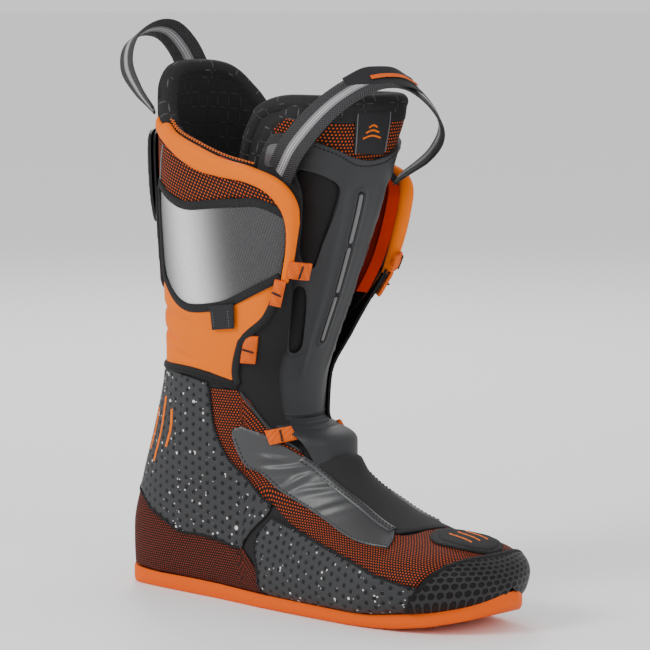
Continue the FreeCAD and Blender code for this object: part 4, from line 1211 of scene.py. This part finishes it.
def make_tongue():
    top = [(0.6, -88), (0.3, -84), (0.12, -76), (0.05, -62), (0.05, -30), (0.05, 0), (0.05, 30), (0.05, 62),
           (0.12, 76), (0.3, 84), (0.6, 88)]
    low = [(7.95, a) for a in (-88, -84, -76, -62, -30, 0, 30, 62, 76, 84, 88)]
    obj = wall("tongue_pad", tongue, top, low, -1.6, 8.1, MAT["black_foam"], rows=60, cols=91)
    place(obj, TONGUE, "black_foam", "tongue_foam", bend="crease", pad=0.8)
    obj = lining("tongue_inside", tongue, top, low, (8.3, 9.4), 50, 91, MAT["lining"])
    place(obj, TONGUE, "lining", "tongue_lining", bend="crease")
    edge = [(3.6, -87), (2.4, -87.5), (1.4, -88), (0.75, -87.5), (0.38, -84), (0.16, -76), (0.08, -62),
            (0.06, -30), (0.06, 0), (0.06, 30), (0.08, 62), (0.16, 76), (0.38, 84), (0.75, 87.5), (1.4, 88),
            (2.4, 87.5), (3.6, 87)]
    obj = edge_roll("tongue_roll", tongue, edge, 161, 0.6, 9.6, (5, 0, 200), 5.2, MAT["lining"], squared=2.1)
    place(obj, TONGUE, "lining", "tongue_edge", pad=0.7)
    band = [(2.3, -78), (1.3, -77), (0.75, -70), (0.58, -50), (0.55, -20), (0.55, 20), (0.58, 50), (0.75, 70),
            (1.3, 77), (2.3, 78)]
    place(strip("tongue_border", tongue, band, 13.0, 0.3, 2.0, MAT["lining"], step=1.8, round_edge=1.2),
          TONGUE, "lining")
    cloth = closed([(0.7, -30), (0.7, 0), (0.7, 30), (0.75, 66)], [(1.5, 74), (2.4, 74)],
                   [(2.5, 40), (2.6, 0), (2.5, -40), (2.4, -74)], [(1.5, -74), (0.75, -66)])
    place(sheet("tongue_cloth", tongue, cloth, -0.2, 1.4, MAT["orange_mesh"], step=2.0),
          TONGUE, "orange_mesh", "tongue_mesh")
    label = closed([(0.62, 22)], [(2.02, 20)], [(2.1, -18)], [(0.62, -20)])
    place(sheet("tongue_tag", tongue, label, 0.7, 0.9, MAT["tag_cloth"], step=1.6, round_edge=0.3),
          TONGUE, "tag_cloth", "tongue_label")
    lines = [strip("line", tongue, [(0.64, s), (2.03, s - 1.5)], 0.7, 0.95, 0.5, MAT["slot_grey"], step=0.6,
                   round_edge=0.2) for s in (-17.5, 20)]
    place(joined("tag_lines", lines), TONGUE, "slot_grey")
    marks = []
    for k, (v, reach) in enumerate(((1.2, 5), (1.38, 8), (1.56, 11))):
        marks.append(strip("mark", tongue, [(v + 0.05, 1 - reach), (v - 0.03, 1), (v + 0.05, 1 + reach)],
                           1.0, 0.95, 0.5, MAT["orange_foam"], step=0.6, round_edge=0.2))
    place(joined("tag_marks", marks), TONGUE, "orange_foam")

    half = [(2.2, 0), (2.1, 22), (1.86, 37), (1.58, 50), (1.42, 60), (1.45, 69)]
    left = [(1.45, 69), (1.9, 73), (2.4, 73), (2.75, 66), (3.2, 57), (3.9, 54), (5.0, 53), (6.1, 54),
            (7.0, 55), (7.9, 57)]
    base = [(7.9, 57), (7.95, 30), (7.95, 0)]

    def flip(run):
        return [(v, -a) for v, a in reversed(run)]

    runs = [flip(half)[:-1] + half, left, base + flip(base)[1:], flip(left)]
    big = closed([(2.42, 44), (2.58, 34)], [(2.72, 29), (2.95, 28), (3.4, 30), (3.95, 33), (4.38, 35)],
                 [(4.44, 38), (4.36, 42), (4.08, 46.5), (3.55, 47.5), (2.85, 49.5), (2.45, 54), (2.34, 52)])
    small = [[(4.8, 45), (4.86, 40), (5.1, 37), (5.6, 33.5), (6.05, 31), (6.2, 34), (6.24, 39), (6.12, 44),
              (5.4, 47), (4.95, 48), (4.8, 45)]]
    wing = [[(1.72, 57), (1.72, 66), (1.82, 70), (2.2, 70), (2.3, 66), (2.2, 58), (1.85, 55.5), (1.72, 57)]]
    holes = []
    for window in (big, small):
        holes += [window, [flip(r) for r in reversed(window)]]

    def relief(v, a, lengths, distance):
        """Raised border round the plate and its slots, slots sunk, and two long ridges."""
        out = 0.9 * np.exp(-(distance / 1.6) ** 2)
        for low_v, high_v in ((2.9, 3.9), (4.05, 4.95), (5.1, 5.95)):
            dv = np.clip(np.maximum(low_v - v, v - high_v), 0, None) * STATION_LENGTH
            da = np.abs(a - 4.5) * DEGREE_LENGTH
            d = np.hypot(dv, da)
            out += 0.8 * np.exp(-((d - 3.6) / 1.0) ** 2) - 0.9 * (d < 2.3)
        out += 0.8 * np.exp(-((np.abs(a) - 24) / 4.0) ** 2) * ease(2.4, 3.0, v) * (1 - ease(6.2, 7.0, v))
        return out

    shell = sheet("tongue_plate", tongue, runs, PLATE_LEVEL, 2.2, MAT["shell_plastic"], holes=holes,
                  step=1.15, round_edge=0.7, bumps=relief)
    place(shell, TONGUE, "shell_plastic", "tongue_shell")
    windows = []
    for sign in (1, -1):
        for window in (big, small):
            runs_w = [[(v, sign * (a + (1.5 if a > 40 else -1.5))) for v, a in r] for r in window]
            windows.append(sheet("pane", tongue, runs_w, 0.1, 1.0, MAT["window"], step=2.0, round_edge=0.2))
    place(joined("side_windows", windows), TONGUE, "black_foam")
    panes = [sheet("pane", tongue, [[(v, sign * a) for v, a in r] for r in wing], 2.9, 0.9, MAT["gloss"],
                   step=1.2, round_edge=0.5) for sign in (1, -1)]
    place(joined("wing_panes", panes), TONGUE, "slot_grey")

    def capsule(low_v, high_v, radius):
        turn = np.radians(np.arange(0, 361, 20))
        centre = np.where(np.cos(turn) > 0, high_v, low_v)
        v = centre + radius / STATION_LENGTH * np.cos(turn)
        return [np.stack([v, 4.5 + radius / DEGREE_LENGTH * np.sin(turn)], axis=1).tolist()]

    bars, rings = [], []
    for low_v, high_v in ((2.92, 3.88), (4.07, 4.93), (5.12, 5.93)):
        bars.append(sheet("bar", tongue, capsule(low_v, high_v, 1.7), 2.7, 1.4, MAT["slot_grey"], step=0.8,
                          round_edge=0.6))
        # painted shadow: a near-black ring under each bar stands for the shade in the gap round it
        rings.append(sheet("ring", tongue, capsule(low_v, high_v, 2.7), 2.35, 1.0, MAT["window"], step=1.0,
                           round_edge=0.2))
    place(joined("slot_bars", bars), TONGUE, "slot_grey", "slot_inserts")
    place(joined("slot_shadow_rings", rings), TONGUE, "black_foam")
    edge = [[(2.26, -20), (2.32, 0), (2.26, 20), (2.0, 36), (1.75, 48)],
            [(2.26, -20), (2.0, -36), (1.75, -48)]]
    place(seam("plate_stitch", tongue, edge, 2.4, MAT["thread"], length=1.5, gap=1.1, radius=0.36),
          TONGUE, "binding")

    def creases(v, a, lengths):  # each crease: station, depth, reach in degrees
        out = 1.2 * np.sin(np.clip((v - 8.4) / 1.9, 0, 1) * np.pi) - 1.6 * ease(9.7, 11.0, v)
        for cv, depth, wide in ((8.12, 0.9, 34), (8.62, 0.8, 38), (9.15, 0.7, 36)):
            out -= depth * np.exp(-((v - cv) / 0.06) ** 2) * np.exp(-((a + 4) / wide) ** 2)
        return out

    ring = (-76, -50, -24, 0, 24, 50, 76)
    obj = wall("tongue_foot", tongue, [(7.8, a) for a in ring], [(11.9, a) for a in ring], PLATE_LEVEL, -0.4,
               MAT["shell_plastic"], rows=70, cols=60, bumps=creases)
    place(obj, FOOT, "shell_plastic", "tongue_base", bend="crease")


def make_pull_loops():
    rear = [(-110, -27, 291), (-120, -30, 303), (-129, -30, 317), (-134, -22, 331), (-133, -8, 339),
            (-130, 6, 338), (-126, 16, 327), (-121, 22, 310), (-112, 25, 292)]
    flats = [(0.75, -0.66, 0.1), (0.8, -0.55, 0.2), (0.85, -0.3, 0.4), (0.87, 0, 0.5), (0.87, 0, 0.5),
             (0.87, 0.1, 0.5), (0.85, 0.35, 0.4), (0.8, 0.55, 0.25), (0.72, 0.7, 0.1)]
    place(ribbon("rear_webbing", rear, flats, WIDE_WEBBING, THICK_WEBBING, MAT["black_webbing"], rows=140),
          REAR_LOOP, "black_webbing", "rear_pull_loop")
    front = [(6, -41, 258), (20, -43, 276), (42, -38, 298), (52, -16, 311), (58, 5, 311), (61, 26, 299),
             (59, 41, 283), (44, 48, 267), (22, 46, 252)]
    flats = [(0.8, 0, -0.6)] * 5 + [(0.78, -0.3, -0.5), (0.72, -0.55, -0.35), (0.66, -0.7, -0.2),
                                    (0.64, -0.74, -0.1)]
    place(ribbon("front_webbing", front, flats, WIDE_WEBBING, THICK_WEBBING, MAT["black_webbing"],
                 rows=150), FRONT_LOOP, "black_webbing", "tongue_pull_loop")
    sleeve = [(48.0, -26.0, 307.4), (52.9, -15.0, 313.0), (56.0, -5, 314.0), (59.1, 6, 313.0),
              (60.6, 17, 308.2)]
    flats = [(0.8, 0, -0.6)] * len(sleeve)
    place(ribbon("sleeve", sleeve, flats, 18.5, 1.2, MAT["tag_cloth"], rows=40, crown=0.6),
          FRONT_LOOP, "tag_cloth", "loop_sleeve")
    raised = [(x + 0.5, y, z + 0.9) for x, y, z in sleeve[1:]]
    place(ribbon("sleeve_line", raised, flats[1:], 3.0, 0.5, MAT["orange_webbing"], rows=30),
          FRONT_LOOP, "orange_webbing")


make_foot()
make_outsole()
make_stitching()
make_gusset()
make_cuff()
make_tongue()
make_pull_loops()
loops("low_loops", "low_lace_loops", [((6.75, 133), (6.75, 150), 9)], FOOT)
loops("mid_loops", "mid_lace_loops", [((4.02, 121.5), (4.6, 122), 9.6)], FOOT, bend="flex", level=0.2)
loops("upper_loops", "upper_lace_loops", [((2.7, 136.5), (2.72, 147), 10), ((2.9, 134), (3.34, 133), 6)],
      CUFF)
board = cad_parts["sole_board"]
for slot_ in board.material_slots:
    slot_.material = MAT["board"]
if not board.material_slots:
    board.data.materials.append(MAT["board"])


# ---------------------------------------------------------------- stage, light and camera
def make_stage():
    turn = np.linspace(0, 2 * np.pi, 64, endpoint=False)
    mesh = bpy.data.meshes.new("floor")
    rim = [(FLOOR_RADIUS * math.cos(t), FLOOR_RADIUS * math.sin(t), -FLOOR_DROP) for t in turn]
    mesh.from_pydata(rim, [], [list(range(len(rim)))])
    floor = bpy.data.objects.new("floor", mesh)
    bpy.context.scene.collection.objects.link(floor)
    paint = Paint("Pale floor", (0.92, 0.92, 0.92), 0.8)
    mesh.materials.append(paint.mat)
    world = bpy.data.worlds.new("Studio")
    world.use_nodes = True
    world.node_tree.nodes["Background"].inputs[0].default_value = (1, 1, 1, 1)
    world.node_tree.nodes["Background"].inputs[1].default_value = SKY_STRENGTH
    bpy.context.scene.world = world


def light(name, place_at, aim, size, power):
    data = bpy.data.lights.new(name, "AREA")
    data.energy, data.size, data.shape = power, size, "DISK"
    obj = bpy.data.objects.new(name, data)
    obj.location = place_at
    obj.rotation_euler = (Vector(aim) - Vector(place_at)).to_track_quat("-Z", "Y").to_euler()
    bpy.context.scene.collection.objects.link(obj)


def make_camera():
    flat = math.cos(CAMERA_ELEVATION)
    back = Vector((math.sin(CAMERA_AZIMUTH) * flat, -math.cos(CAMERA_AZIMUTH) * flat,
                   math.sin(CAMERA_ELEVATION)))
    data = bpy.data.cameras.new("Camera")
    data.sensor_width = CAMERA_SENSOR
    data.lens = CAMERA_LENS
    data.shift_x, data.shift_y = CAMERA_SHIFT
    cam = bpy.data.objects.new("Camera", data)
    cam.location = CAMERA_AIM + back * CAMERA_DISTANCE
    cam.rotation_euler = back.to_track_quat("Z", "Y").to_euler()
    bpy.context.scene.collection.objects.link(cam)
    bpy.context.scene.camera = cam


make_stage()
for values in LIGHTS:
    light(*values)
make_camera()
